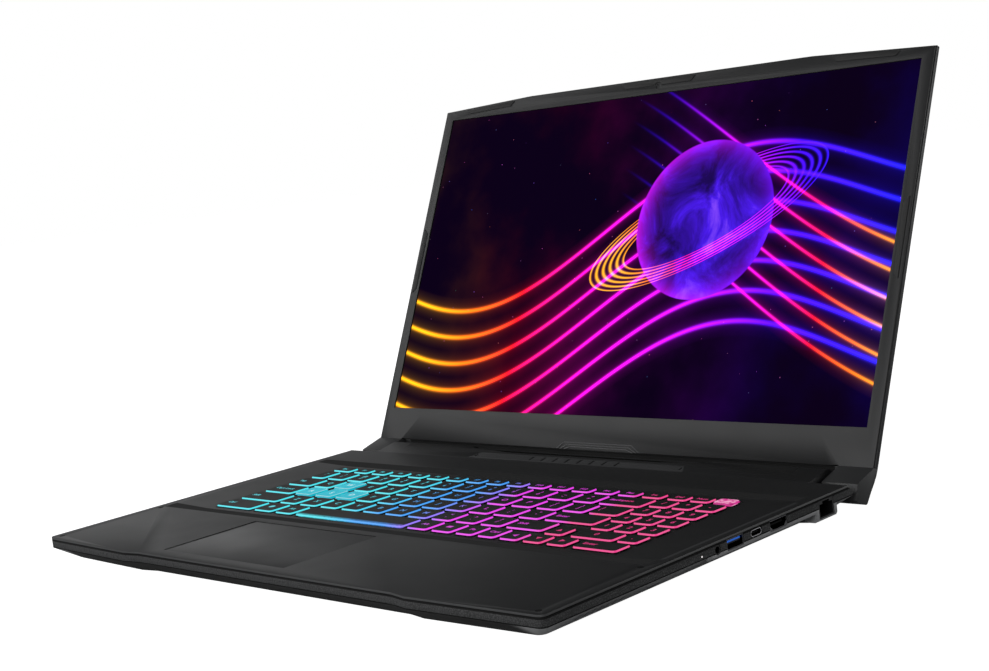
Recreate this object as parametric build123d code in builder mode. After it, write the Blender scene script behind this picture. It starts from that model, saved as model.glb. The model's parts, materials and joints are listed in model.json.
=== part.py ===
from build123d import *
import os
from math import asin, atan2, cos, degrees, hypot, pi, radians, sin, sqrt

# A 17.3 inch gaming laptop, opened for use. X runs to the user's right, Y from the user to the back and Z up.
# The origin is on the desk, under the middle of the opened machine. Two sets of planes carry the model:
# deck(h) lies h above the palm rest's surface, with Y counted from the front edge, and lid(d) lies d behind
# the screen bezel's face, with its own Y counted up the lid from the hinge axis.

# ---------------------------------------------------------------- driving dimensions, in millimetres
WIDTH = 398.0  # both halves, side to side
FOOT_HEIGHT = 3.7
BASE_HEIGHT = 13.8  # lower shell's floor to the deck's surface
BAND = 6.2  # upright part of the side wall, in the top cover
MIDDLE_FRONT = 0.4  # front edge between the wings
WING_FRONT = -1.8  # front edge at the wings' inner corners
CORNER_FRONT = 1.3  # front edge at the machine's corners
WING_IN = 104.0
WING_OUT = 115.5
SIDE_REAR = 243.9  # rear end of the side walls
SIDE_REAR_SLOPE = 4.6
CORNER_R = 4.0
BEVEL_SIDE = 11.8  # how far the lower shell draws in at the sides
BEVEL_FRONT = 10.8
BEVEL_REAR = 8.0
WALL = 1.6
FLOOR = 1.5
BEVEL_WALL = 2.7  # level thickness of the sloping wall

AXIS_Y = 258.1  # hinge axis behind the front edge
AXIS_DROP = 3.7  # hinge axis below the deck's surface
LEAN = 25.28  # lid beyond the vertical, at rest
BARREL_R = 6.5  # rounded rear bar of the base, about the hinge axis
BAR_HALF = 174.6  # half the rear bar's length
RAMP_START = 242.5
REAR_LIP = 267.4

LID_THICK = 7.0
RIM_DEPTH = 3.87  # side face of the lid, below which its back is bevelled
LID_BEVEL = 10.0
LID_TOP = 257.6  # up the lid from the hinge axis
LID_CORNER = 253.5
LID_KINK = 116.0
LID_FOOT = 9.6  # lower edge of the bezel
LID_TAIL = 6.6  # lower edge of the back shell
LID_WALL = 1.3
BEZEL_DROP = 4.43  # bezel's face behind the hinge axis
BEZEL_THICK = 1.17
COVER_IN = 176.8  # inner end of a hinge cover
SCREEN_W = 381.9
SCREEN_H = 214.8
SCREEN_FOOT = 31.6
PANEL_THICK = 2.6
PANEL_EDGE = 3.0

RECESS = 1.2  # key deck below the palm rest
KEY_GAP = 2.85
KEY_W = 16.2
KEY_D = 16.1
ROW_PITCH = 18.8
KEYS_LEFT = -157.6
KEYS_RIGHT = 116.95
KEYS_FRONT = 92.6
FUNCTION_D = 9.0
PAD_W = 13.6  # number pad key
PAD_D = 12.9
PAD_PITCH_X = 15.3
PAD_PITCH_Y = 15.65
PAD_LEFT = 119.3
PAD_FRONT = 92.6
KEY_RISE = 1.6  # key top above the key deck
KEY_SKIRT = 0.3  # skirt below the key deck's surface
KEY_CLEAR = 0.4
KEY_TAPER = 12.0
KEY_SHELL = 1.1
TRAVEL = 1.7
SHEET_CLEAR = 0.4
SHEET = 0.6
PLATE = 0.8
LATTICE = 1.5

TOUCH_W = 105.0
TOUCH_D = 63.1
TOUCH_X = -39.5
TOUCH_Y = 41.25
TOUCH_THICK = 1.2
TOUCH_DROP = 0.35
TOUCH_CLEAR = 0.3
CLICK = 0.5
FRAME_LAP = 5.0  # touchpad frame beyond the pad, under the palm rest

PIN_R = 2.0
PIN_CLEAR = 0.05
SHAFT_R = 1.0
RUN_CLEAR = 0.5  # round a fan's rotor
HEX = 6  # sides of posts and bosses
ROUND = 16  # sides of small round features that nothing turns in
CHAMBER = 32  # sides of a fan's chamber

# ---------------------------------------------------------------- places worked out from them
HALF = WIDTH / 2
DECK_HEIGHT = FOOT_HEIGHT + BASE_HEIGHT
LEAN_SIN = sin(radians(LEAN))
LEAN_COS = cos(radians(LEAN))
OPEN_REAR = AXIS_Y + LID_TOP * LEAN_SIN + (BEZEL_DROP + RIM_DEPTH) * LEAN_COS
Y_SHIFT = -(WING_FRONT + OPEN_REAR) / 2
DECK = Plane(origin=(0, Y_SHIFT, DECK_HEIGHT))
HINGE = Plane(
    origin=(0, Y_SHIFT + AXIS_Y, DECK_HEIGHT - AXIS_DROP),
    x_dir=(1, 0, 0),
    z_dir=(0, -LEAN_COS, LEAN_SIN),
)
CAVITY_TOP = -RECESS - LATTICE
SHEET_TOP = -RECESS - KEY_SKIRT - TRAVEL - SHEET_CLEAR
PLATE_TOP = SHEET_TOP - SHEET
PLATE_FOOT = PLATE_TOP - PLATE
FLOOR_TOP = -BASE_HEIGHT + FLOOR
BOARD_TOP = -7.6
BOARD_FOOT = BOARD_TOP - 1.0
KEY_TOP = KEY_RISE - RECESS
KEYS_BACK = KEYS_FRONT + 5 * ROW_PITCH + FUNCTION_D


def deck(height=0.0):
    """A level plane, its height counted from the palm rest's surface."""
    return DECK.offset(height)


def lid(depth=0.0):
    """A plane parallel to the screen, its depth counted from the bezel's face."""
    return HINGE.offset(-BEZEL_DROP - depth)


def base_slice(x):
    """An upright plane across the base at x: its own axes are Y and Z of deck()."""
    return Plane(origin=DECK.origin + Vector(x, 0, 0), x_dir=(0, 1, 0), z_dir=(1, 0, 0))


def lid_slice(x):
    """The same across the lid: its own axes run up the lid and out of the screen, from the hinge axis."""
    return Plane(origin=HINGE.origin + Vector(x, 0, 0), x_dir=HINGE.y_dir, z_dir=(1, 0, 0))


def block(x, y, size, low, high, mode=Mode.ADD):
    """A rectangular block between two heights over the deck, added to the part being built or cut from it."""
    with BuildSketch(deck(low)) as plan:
        with Locations((x, y)):
            Rectangle(*size)
    extrude(plan.sketch, amount=high - low, mode=mode)


def base_outline(side=0.0, front=0.0, rear=0.0):
    """Corners of the base's outline, drawn in by so much at each edge."""
    x = HALF - side
    return [
        (-x, CORNER_FRONT + front),
        (-WING_OUT, WING_FRONT + front),
        (-WING_IN, MIDDLE_FRONT + front),
        (WING_IN, MIDDLE_FRONT + front),
        (WING_OUT, WING_FRONT + front),
        (x, CORNER_FRONT + front),
        (x, SIDE_REAR - rear),
        (-x, SIDE_REAR - rear),
    ]


def base_face(height, side=0.0, front=0.0, rear=0.0):
    """The outline as a face at a height, its two front corners rounded."""
    with BuildSketch(deck(height)) as plan:
        Polygon(*base_outline(side, front, rear), align=None)
        corners = vertices().sort_by(Axis.Y)
        fillet(corners[4:6], CORNER_R)
    return plan.sketch


def lid_outline(inset=0.0, foot=LID_FOOT):
    """Corners of the lid's outline, drawn in all round."""
    x = HALF - inset
    return [
        (-x, foot),
        (x, foot),
        (x, LID_CORNER - inset),
        (LID_KINK, LID_TOP - inset),
        (-LID_KINK, LID_TOP - inset),
        (-x, LID_CORNER - inset),
    ]


# ---------------------------------------------------------------- the keys' places
# A key is (middle x, middle y, width, depth).
def key_row(front, widths, left=KEYS_LEFT, depth=KEY_D, gap=KEY_GAP):
    """Keys side by side from the left."""
    keys = []
    for width in widths:
        keys.append((left + width / 2, front + depth / 2, width, depth))
        left += width + gap
    return keys


def pad_key(column, row, columns=1):
    """A number pad key, counted from the pad's front left corner."""
    width = PAD_W + (columns - 1) * PAD_PITCH_X
    left = PAD_LEFT + column * PAD_PITCH_X
    return (left + width / 2, PAD_FRONT + row * PAD_PITCH_Y + PAD_D / 2, width, PAD_D)


def last_width(left_keys, count):
    """Width of a row's last key, which ends at the letter block's right edge."""
    used = sum(left_keys) + len(left_keys) * KEY_GAP + count * (KEY_W + KEY_GAP)
    return KEYS_RIGHT - KEYS_LEFT - used


ROW = [KEYS_FRONT + i * ROW_PITCH for i in range(6)]
SPACE_W = 92.9
modifiers = key_row(ROW[0], [34.6, 17.35, 16.0, SPACE_W, 16.3, 15.65, 13.55, 12.95])
lower_row = key_row(ROW[1], [35.5] + [KEY_W] * 10 + [26.5])
home_row = key_row(ROW[2], [26.7] + [KEY_W] * 11 + [last_width([26.7], 11)])
upper_row = key_row(ROW[3], [22.4] + [KEY_W] * 12 + [last_width([22.4], 12)])
number_row = key_row(ROW[4], [13.2] + [KEY_W] * 12 + [last_width([13.2], 12)])
function_row = key_row(ROW[5], [17.2] + [14.25] * 15, depth=FUNCTION_D)
function_row += key_row(ROW[5], [PAD_W] * 3, left=PAD_LEFT, depth=FUNCTION_D, gap=PAD_PITCH_X - PAD_W)
ARROW_W = 13.45
arrow_up = (101.3 + ARROW_W / 2, PAD_FRONT + PAD_PITCH_Y + PAD_D / 2, ARROW_W, PAD_D)
arrow_row = key_row(PAD_FRONT, [ARROW_W] * 3, left=84.5, depth=PAD_D)

KEY_GROUPS = {
    "key_power": function_row[18:],
    "keys_function": function_row[:18],
    "keys_number": number_row[:13],
    "key_backspace": number_row[13:],
    "keys_upper_row": upper_row[:2] + upper_row[3:],
    "keys_home_row": home_row[:1] + home_row[4:12],
    "key_enter": home_row[12:],
    "keys_lower_row": lower_row[1:11],
    "keys_shift": lower_row[:1] + lower_row[11:],
    "keys_modifiers": modifiers[:3] + modifiers[4:],
    "key_space": modifiers[3:4],
    "keys_wasd": upper_row[2:3] + home_row[1:4],
    "keys_arrows": arrow_row + [arrow_up],
    "keys_number_pad": [pad_key(0, 1, 2), pad_key(2, 1)]
    + [pad_key(column, row) for row in range(2, 6) for column in range(3)],
    "key_pad_enter": [pad_key(1, 0, 2)],
}
ALL_KEYS = [key for group in KEY_GROUPS.values() for key in group]

# ---------------------------------------------------------------- sockets in the side walls
# A socket is (middle y, height of its middle, width of its mouth, height of its mouth).
SOCKET_FACE = 0.3  # mouths lie this far inside the side face
SOCKET_CLEAR = 0.15
SHELL = 0.35
USB_A = (139.4, -4.25, 12.5, 4.7)
USB_C = (157.0, -3.9, 8.4, 2.7)
HDMI = (175.8, -4.2, 14.0, 4.5)
JACK_Y = 125.2
JACK_Z = -4.5
JACK_R = 1.75
JACK_BODY_R = 2.35
LIGHT_Y = 112.8
LIGHT_R = 0.75
LAN_Y = 218.6
LAN_W = 11.9
LAN_H = 6.7
LAN_TOP = -4.1
LATCH_W = 6.2
LATCH_H = 1.3
LAN_BODY_TOP = -2.2
LAN_BODY_FOOT = -11.4
LAN_BODY_W = LAN_W + 2.0
LAN_SHELF = 12.3  # lower shell's box round the network socket, below the deck
PORT_SHELF = 7.95
USB_LEFT = [(142.0, -4.25, 12.5, 4.7), (166.0, -4.25, 12.5, 4.7)]
POWER_Y = 222.0
POWER_Z = -5.0
POWER_R = 2.8
POWER_BODY_R = 3.4
SOCKET_DEPTH = 12.0


def side_plane(side, inset=0.0):
    """The outer face of a side wall, looking at it from outside: +1 right, -1 left."""
    return Plane(
        origin=DECK.origin + Vector(side * (HALF - inset), 0, 0), x_dir=(0, side, 0), z_dir=(side, 0, 0)
    )


def socket_window(side, y, z, width, height):
    """Takes a socket's window out of the side wall being built."""
    with BuildSketch(side_plane(side)) as window:
        with Locations((side * y, z)):
            Rectangle(width, height)
    extrude(window.sketch, amount=-BEVEL_WALL - SOCKET_DEPTH, mode=Mode.SUBTRACT)


def all_windows():
    """Every socket's window, for both shells that the sockets reach through."""
    grow = 2 * (SHELL + SOCKET_CLEAR)
    for y, z, width, height in (USB_A, USB_C, HDMI):
        socket_window(1, y, z, width + grow, height + grow)
    for y, z, width, height in USB_LEFT:
        socket_window(-1, y, z, width + grow, height + grow)
    lan_height = LAN_BODY_TOP - LAN_BODY_FOOT
    lan_middle = (LAN_BODY_TOP + LAN_BODY_FOOT) / 2
    socket_window(1, LAN_Y, lan_middle, LAN_BODY_W + 2 * SOCKET_CLEAR, lan_height + 2 * SOCKET_CLEAR)
    round_windows = (
        (1, JACK_Y, JACK_Z, JACK_BODY_R),
        (1, LIGHT_Y, JACK_Z, LIGHT_R),
        (-1, POWER_Y, POWER_Z, POWER_BODY_R),
    )
    for side, y, z, radius in round_windows:
        with BuildSketch(side_plane(side)) as window:
            with Locations((side * y, z)):
                Circle(radius + SOCKET_CLEAR)
        extrude(window.sketch, amount=-BEVEL_WALL - SOCKET_DEPTH, mode=Mode.SUBTRACT)


# ---------------------------------------------------------------- fastening points
BOSS_R = 2.4
SCREW_R = 1.0
SCREW_HEAD_R = 2.0
SCREW_HEAD = 0.9
BOSS_MEET = -8.0  # where the two shells' bosses meet
BOSSES = [(-182, 83), (-100, 83), (0, 83), (100, 83), (182, 83), (-134, 17.5), (134, 17.5), (-40, 252), (40, 252)]


# ---------------------------------------------------------------- profile of the rear bar
def bar_profile(plane, radius, top, foot, front):
    """Ramp that rises from the deck to a round bar about the hinge axis, as a closed line in base_slice()."""
    reach = hypot(AXIS_Y - RAMP_START, top + AXIS_DROP)
    slope = asin(radius / reach) + atan2(-AXIS_DROP - top, AXIS_Y - RAMP_START)
    run = sqrt(reach**2 - radius**2)
    crest = (RAMP_START + run * cos(slope), top + run * sin(slope))
    rear = (AXIS_Y + sqrt(radius**2 - (foot + AXIS_DROP) ** 2), foot)
    middle = (AXIS_Y + radius * cos(radians(35)), -AXIS_DROP + radius * sin(radians(35)))
    with BuildSketch(plane) as profile:
        with BuildLine():
            Polyline(rear, (front, foot), (front, top), (RAMP_START, top), crest)
            ThreePointArc(crest, middle, rear)
        make_face()
    return profile.sketch


RAMP_REACH = hypot(AXIS_Y - RAMP_START, AXIS_DROP)
RAMP_SLOPE = degrees(asin(BARREL_R / RAMP_REACH) - atan2(AXIS_DROP, AXIS_Y - RAMP_START))
BAR_FRONT = 232.0
BAR_SHELL = [(BAR_FRONT, -BAND), (AXIS_Y + 6.0, -BAND), (REAR_LIP, -9.2), (REAR_LIP, -11.6),
             (REAR_LIP - 3.0, -BASE_HEIGHT), (BAR_FRONT, -BASE_HEIGHT)]
BAR_HOLLOW = [(BAR_FRONT - 1, -BAND), (AXIS_Y + 4.4, -BAND), (REAR_LIP - WALL, -9.8), (REAR_LIP - WALL, -11.2),
              (REAR_LIP - 4.0, FLOOR_TOP), (BAR_FRONT - 1, FLOOR_TOP)]

STRIP_HALF = 87.3
STRIP_TAPER = 4.5
STRIP_LONG = 8.3
STRIP_DEEP = 0.8
STRIP_SLOT_PITCH = 9.95
RAMP = Plane(
    origin=DECK.origin + Vector(0, RAMP_START, 0),
    x_dir=(1, 0, 0),
    z_dir=(0, -sin(radians(RAMP_SLOPE)), cos(radians(RAMP_SLOPE))),
)
STRIP = [(-STRIP_HALF, 0), (STRIP_HALF, 0), (STRIP_HALF - STRIP_TAPER, STRIP_LONG),
         (-STRIP_HALF + STRIP_TAPER, STRIP_LONG)]

os.makedirs("parts", exist_ok=True)
PIECES = []


def keep(builder, label):
    """Labels a finished piece and puts it on the list to be written."""
    builder.part.label = label
    PIECES.append(builder.part)


# ================================================================ top cover with the key deck
FIELD = (335.0, 112.0)  # key switch sheet, and the plate beneath it
FIELD_Y = (KEYS_FRONT + KEYS_BACK) / 2
FIELD_RIM = 4.0
LATTICE_FRONT = TOUCH_Y + TOUCH_D / 2 + FRAME_LAP + 0.4  # the key deck is thicker from here on
DECK_PLUGS = [(x, y) for x in (-192.6, 192.6) for y in (6.3, 75.8)]
PLUG_R = 1.7
PLUG_DEEP = 0.9
RECESS_W = 334.0  # floor of the shallow recess round the keys
RECESS_FRONT = KEYS_FRONT - 4.0
RECESS_REAR = KEYS_BACK + 7.6
BAR_MIDDLE = 0.9  # top of the rear bar's lower middle

with BuildPart() as palmrest_cover:
    extrude(base_face(-BAND), amount=BAND)
    extrude(bar_profile(base_slice(-BAR_HALF), BARREL_R, 0, -BAND, BAR_FRONT), amount=2 * BAR_HALF)
    # hollow: under the key field, then the palm rest and the side strips, which are thinner
    extrude(base_face(-BAND, WALL, WALL, WALL), amount=BAND + SHEET_TOP, mode=Mode.SUBTRACT)
    bar_hollow = bar_profile(base_slice(-BAR_HALF + WALL), BARREL_R - WALL, -WALL, -BAND, BAR_FRONT - 3)
    extrude(bar_hollow, amount=2 * (BAR_HALF - WALL), mode=Mode.SUBTRACT)
    field_hollow = (FIELD[0] - 2 * FIELD_RIM, FIELD[1] - 2 * FIELD_RIM)
    block(0, FIELD_Y, field_hollow, SHEET_TOP, CAVITY_TOP, Mode.SUBTRACT)
    with BuildSketch(deck(SHEET_TOP)):
        Rectangle(2 * (HALF - WALL), SIDE_REAR - WALL, align=(Align.CENTER, Align.MIN))
        Polygon(*base_outline(WALL, WALL, WALL), align=None, mode=Mode.INTERSECT)
        with Locations((0, FIELD_Y)):
            Rectangle(FIELD[0] + 2, FIELD[1] + 2, mode=Mode.SUBTRACT)
    extrude(amount=-WALL - SHEET_TOP - 0.6, mode=Mode.SUBTRACT)
    with BuildSketch(deck(SHEET_TOP)):
        Polygon(*base_outline(WALL, WALL, WALL), align=None)
        with Locations((0, LATTICE_FRONT)):
            Rectangle(2 * HALF, 200, align=(Align.CENTER, Align.MIN), mode=Mode.SUBTRACT)
    extrude(amount=-WALL - SHEET_TOP, mode=Mode.SUBTRACT)
    for side in (-1, 1):
        block(side * (HALF - WALL - 7), 157, (14, 156), SHEET_TOP, -WALL, Mode.SUBTRACT)
    # the shallow recess that the keys stand in
    with BuildSketch(deck()):
        with Locations((0, 145)):
            Rectangle(2 * HALF - 3, 132)
        chamfer(vertices(), 12)
    with BuildSketch(deck(-RECESS)):
        with Locations((0, RECESS_FRONT)):
            Rectangle(RECESS_W, RECESS_REAR - RECESS_FRONT, align=(Align.CENTER, Align.MIN))
        chamfer(vertices(), 5)
    loft(ruled=True, mode=Mode.SUBTRACT)
    # openings for the keys and the touchpad
    with BuildSketch(deck(-RECESS)):
        for x, y, width, depth in ALL_KEYS:
            with Locations((x, y)):
                Rectangle(width + 2 * KEY_CLEAR, depth + 2 * KEY_CLEAR)
    extrude(amount=-LATTICE, mode=Mode.SUBTRACT)
    touch_window = (TOUCH_W + 2 * TOUCH_CLEAR, TOUCH_D + 2 * TOUCH_CLEAR)
    block(TOUCH_X, TOUCH_Y, touch_window, -WALL, 0, Mode.SUBTRACT)
    # shadow lines round the plate's edge and along the joint with the lower shell
    for top, height, deep in ((-1.1, 0.7, 0.6), (-BAND + 0.5, 0.5, 0.5)):
        with BuildSketch(deck(top - height)):
            Polygon(*base_outline(-1, -1, -1), align=None)
            Polygon(*base_outline(deep, deep, -2), align=None, mode=Mode.SUBTRACT)
        extrude(amount=height, mode=Mode.SUBTRACT)
    # sloping rear ends of the side walls
    for left in (-HALF - 1, BAR_HALF):
        with BuildSketch(base_slice(left)):
            Polygon((SIDE_REAR - 4.8, 1), (SIDE_REAR + 1, 1), (SIDE_REAR + 1, -SIDE_REAR_SLOPE),
                    (SIDE_REAR, -SIDE_REAR_SLOPE), (SIDE_REAR - 4.8, 0), align=None)
        extrude(amount=HALF + 1 - BAR_HALF, mode=Mode.SUBTRACT)
    # the ramp's middle is lower, and holds the slotted strip
    with BuildSketch(deck(BAR_MIDDLE)):
        Polygon((-62, 253), (62, 253), (97, 257), (97, 270), (-97, 270), (-97, 257), align=None)
    extrude(amount=3, mode=Mode.SUBTRACT)
    with BuildSketch(RAMP):
        Polygon(*STRIP, align=None)
    extrude(amount=-STRIP_DEEP, mode=Mode.SUBTRACT)
    # holes for the hinge pins in the bar's ends
    with BuildSketch(base_slice(-BAR_HALF)):
        with Locations((AXIS_Y, -AXIS_DROP)):
            RegularPolygon(PIN_R + 0.4, ROUND, major_radius=False)
    extrude(amount=2 * BAR_HALF, mode=Mode.SUBTRACT)
    # seats of the deck's plugs
    with BuildSketch(deck()):
        with Locations(*DECK_PLUGS):
            RegularPolygon(PLUG_R, ROUND)
    extrude(amount=-PLUG_DEEP, mode=Mode.SUBTRACT)
    all_windows()
    # screw bosses
    with BuildSketch(deck(BOSS_MEET)):
        with Locations(*BOSSES):
            RegularPolygon(BOSS_R, HEX)
    extrude(until=Until.NEXT)
    with BuildSketch(deck(BOSS_MEET)):
        with Locations(*BOSSES):
            RegularPolygon(SCREW_R, HEX)
    extrude(amount=4, mode=Mode.SUBTRACT)
keep(palmrest_cover, "palmrest_cover")

# ================================================================ lower shell
GRILLE_X = 113.0  # fans' middles
GRILLE_Y = 211.0
FAN_HOUSE_R = 32.5
FEET = [(-150, 30, 52, 8), (150, 30, 52, 8)]
REAR_FOOT_Y = 210.0
REAR_FOOT_SLOPE = 15.0
REAR_FOOT_LONG = 30.0
REAR_FOOT_W = 22.0
REAR_FOOT_X = HALF - BEVEL_SIDE - REAR_FOOT_W / 2
BOARD_POSTS = [(-135, 110), (0, 110), (135, 110), (-70, 225), (70, 225), (-176, 195), (176, 195)]
SPEAKER_SLOTS = 7
SPEAKER_PITCH = 4.9


def bevel(height):
    """Share of the bevel's inset that is reached at a height below the deck."""
    return (-height - BAND) / (BASE_HEIGHT - BAND)


def shell_loft(top, foot, wall):
    """Solid between two heights inside the lower shell's bevels, drawn in by a wall."""
    faces = []
    for height in (top, foot):
        share = bevel(height)
        faces.append(base_face(height, BEVEL_SIDE * share + wall, BEVEL_FRONT * share + wall,
                               BEVEL_REAR * share + wall))
    return faces


with BuildPart() as bottom_cover:
    loft(shell_loft(-BAND, -BASE_HEIGHT, 0), ruled=True)
    with BuildSketch(base_slice(-BAR_HALF)):
        Polygon(*BAR_SHELL, align=None)
    extrude(amount=2 * BAR_HALF)
    # upright panels that carry the sockets, and the deeper box round the network socket
    for side in (-1, 1):
        block(side * (HALF - 4), 163, (8, 92), -PORT_SHELF, -BAND)
    with BuildSketch(base_slice(HALF)):
        Polygon((LAN_Y - 11.4, -LAN_SHELF), (LAN_Y + 8.2, -LAN_SHELF), (LAN_Y + 9.4, -LAN_SHELF + 1.2),
                (LAN_Y + 9.4, -BAND), (LAN_Y - 9.6, -BAND), align=None)
    extrude(amount=-18)
    # hollow
    loft(shell_loft(-BAND, FLOOR_TOP, BEVEL_WALL), ruled=True, mode=Mode.SUBTRACT)
    with BuildSketch(base_slice(-BAR_HALF + WALL)):
        Polygon(*BAR_HOLLOW, align=None)
    extrude(amount=2 * (BAR_HALF - WALL), mode=Mode.SUBTRACT)
    all_windows()
    # bosses and board posts
    with BuildSketch(deck(FLOOR_TOP)):
        with Locations(*BOARD_POSTS):
            RegularPolygon(BOSS_R, HEX)
    extrude(amount=BOARD_FOOT - FLOOR_TOP)
    with BuildSketch(deck(FLOOR_TOP)):
        with Locations(*BOSSES):
            RegularPolygon(BOSS_R, HEX)
    extrude(amount=BOSS_MEET - FLOOR_TOP)
    with BuildSketch(deck(-BASE_HEIGHT)):
        with Locations(*BOSSES):
            RegularPolygon(SCREW_R, HEX)
    extrude(amount=BASE_HEIGHT + BOSS_MEET, mode=Mode.SUBTRACT)
    with BuildSketch(deck(-BASE_HEIGHT)):
        with Locations(*BOSSES):
            RegularPolygon(SCREW_HEAD_R + 0.15, ROUND)
    extrude(amount=SCREW_HEAD, mode=Mode.SUBTRACT)
    # air intakes under the fans, exhausts in the rear face and speaker slots in the front bevels
    with BuildSketch(deck(-BASE_HEIGHT)):
        for side in (-1, 1):
            with Locations((side * GRILLE_X, GRILLE_Y)):
                with GridLocations(4.4, 25.5, 11, 2):
                    Rectangle(2.2, 22.5)
    extrude(amount=FLOOR, mode=Mode.SUBTRACT)
    with BuildSketch(Plane.XZ.offset(-(Y_SHIFT + REAR_LIP))):
        for side in (-1, 1):
            with Locations((side * GRILLE_X, DECK_HEIGHT - 9.2)):
                with GridLocations(5.5, 1, 12, 1):
                    Rectangle(3.2, 4.8)
    extrude(amount=8, both=True, mode=Mode.SUBTRACT)
    with BuildSketch(deck(-BASE_HEIGHT)):
        for side in (-1, 1):
            with Locations((side * (HALF - 6.6), 45)):
                with GridLocations(1, SPEAKER_PITCH, 1, SPEAKER_SLOTS):
                    Rectangle(5.6, 2.0)
    extrude(amount=6.5, mode=Mode.SUBTRACT)
keep(bottom_cover, "bottom_cover")

with BuildPart() as bottom_screws:
    with BuildSketch(deck(-BASE_HEIGHT)):
        with Locations(*BOSSES):
            RegularPolygon(SCREW_HEAD_R, ROUND)
    extrude(amount=SCREW_HEAD)
    with BuildSketch(deck(-BASE_HEIGHT + SCREW_HEAD)):
        with Locations(*BOSSES):
            RegularPolygon(SCREW_R - 0.05, HEX)
    extrude(amount=7.5)
keep(bottom_screws, "bottom_screws")

with BuildPart() as rubber_feet:
    with BuildSketch(deck(-BASE_HEIGHT - FOOT_HEIGHT)):
        for x, y, width, depth in FEET:
            with Locations((x, y)):
                Rectangle(width, depth)
    extrude(amount=FOOT_HEIGHT)
    for side in (-1, 1):
        with BuildSketch(base_slice(side * REAR_FOOT_X)):
            Polygon((REAR_FOOT_Y, -BASE_HEIGHT), (REAR_FOOT_Y + REAR_FOOT_SLOPE, -BASE_HEIGHT - FOOT_HEIGHT),
                    (REAR_FOOT_Y + REAR_FOOT_LONG, -BASE_HEIGHT - FOOT_HEIGHT),
                    (REAR_FOOT_Y + REAR_FOOT_LONG - 1, -BASE_HEIGHT), align=None)
        extrude(amount=REAR_FOOT_W / 2, both=True)
keep(rubber_feet, "rubber_feet")

# ================================================================ small pieces of the deck
with BuildPart() as vent_strip:
    with BuildSketch(RAMP.offset(-STRIP_DEEP)):
        Polygon(*STRIP, align=None)
        with Locations((0, STRIP_LONG / 2)):
            with GridLocations(STRIP_SLOT_PITCH, 1, 8, 1):
                Rectangle(1.3, 5, mode=Mode.SUBTRACT)
        for side in (-1, 1):
            with Locations((side * (STRIP_HALF - 4.2), STRIP_LONG / 2)):
                Rectangle(1.3, 3.4, mode=Mode.SUBTRACT)
    extrude(amount=STRIP_DEEP)
keep(vent_strip, "vent_strip")

with BuildPart() as deck_plugs:
    with BuildSketch(deck(-PLUG_DEEP)):
        with Locations(*DECK_PLUGS):
            RegularPolygon(PLUG_R, ROUND)
    extrude(amount=PLUG_DEEP)
keep(deck_plugs, "deck_plugs")

# ================================================================ key switches
DOME = 5.2  # foot of the rubber dome under each key
with BuildPart() as key_switch_sheet:
    block(0, FIELD_Y, FIELD, PLATE_TOP, SHEET_TOP)
    with BuildSketch(deck(SHEET_TOP)):
        for x, y, width, depth in ALL_KEYS:
            with Locations((x, y)):
                Rectangle(DOME, DOME)
    extrude(amount=KEY_RISE + KEY_SKIRT - KEY_SHELL + SHEET_CLEAR - 0.3, taper=20)
keep(key_switch_sheet, "key_switch_sheet")

with BuildPart() as keyboard_plate:
    block(0, FIELD_Y, FIELD, PLATE_FOOT, PLATE_TOP)
keep(keyboard_plate, "keyboard_plate")


def key_caps(keys):
    """Tapered caps, hollow beneath, that stand in the deck's openings."""
    with BuildPart() as caps:
        with BuildSketch(deck(-RECESS - KEY_SKIRT)) as feet:
            for x, y, width, depth in keys:
                with Locations((x, y)):
                    Rectangle(width, depth)
        extrude(feet.sketch, amount=KEY_RISE + KEY_SKIRT, taper=KEY_TAPER)
        with BuildSketch(deck(-RECESS - KEY_SKIRT)) as hollows:
            for x, y, width, depth in keys:
                with Locations((x, y)):
                    Rectangle(width - 2 * KEY_SHELL, depth - 2 * KEY_SHELL)
        extrude(hollows.sketch, amount=KEY_RISE + KEY_SKIRT - KEY_SHELL, mode=Mode.SUBTRACT)
    return caps


for label, keys in KEY_GROUPS.items():
    keep(key_caps(keys), label)

# ================================================================ touchpad
FRAME_GAP = 0.35
FRAME_TOP = -TOUCH_DROP - TOUCH_THICK - CLICK - FRAME_GAP
FRAME_THICK = 1.0
with BuildPart() as touchpad:
    block(TOUCH_X, TOUCH_Y, (TOUCH_W, TOUCH_D), -TOUCH_DROP - TOUCH_THICK, -TOUCH_DROP)
keep(touchpad, "touchpad")

with BuildPart() as touchpad_frame:
    outer = (TOUCH_W + 2 * FRAME_LAP, TOUCH_D + 2 * FRAME_LAP)
    block(TOUCH_X, TOUCH_Y, outer, FRAME_TOP - FRAME_THICK, -WALL)
    hollow = (TOUCH_W + 2 * TOUCH_CLEAR + 1, TOUCH_D + 2 * TOUCH_CLEAR + 1)
    block(TOUCH_X, TOUCH_Y, hollow, FRAME_TOP, -WALL, Mode.SUBTRACT)
keep(touchpad_frame, "touchpad_frame")

# ================================================================ sockets
def socket_body(side, y, z, width, height, mode=Mode.ADD, grow=0.0, inset=SOCKET_FACE, deep=SOCKET_DEPTH):
    """A rectangular length of a socket, from its mouth inwards."""
    with BuildSketch(side_plane(side, inset)) as mouth:
        with Locations((side * y, z)):
            Rectangle(width + grow, height + grow)
    extrude(mouth.sketch, amount=-deep, mode=mode)


def socket_foot(side, y, width, top):
    """The solder foot that stands on the board beneath a socket."""
    block(side * (HALF - 10), y, (3.5, width), BOARD_TOP, top)


TONGUE = 1.9
TONGUE_DROP = 0.5


def usb_a_socket(places):
    """Metal shells of full-size sockets, given as (side, socket)."""
    with BuildPart() as shells:
        for side, (y, z, width, height) in places:
            socket_body(side, y, z, width, height, grow=2 * SHELL)
            socket_foot(side, y, width - 2, z - height / 2)
            socket_body(side, y, z, width, height, Mode.SUBTRACT, deep=SOCKET_DEPTH - 1.5)
    return shells


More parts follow.
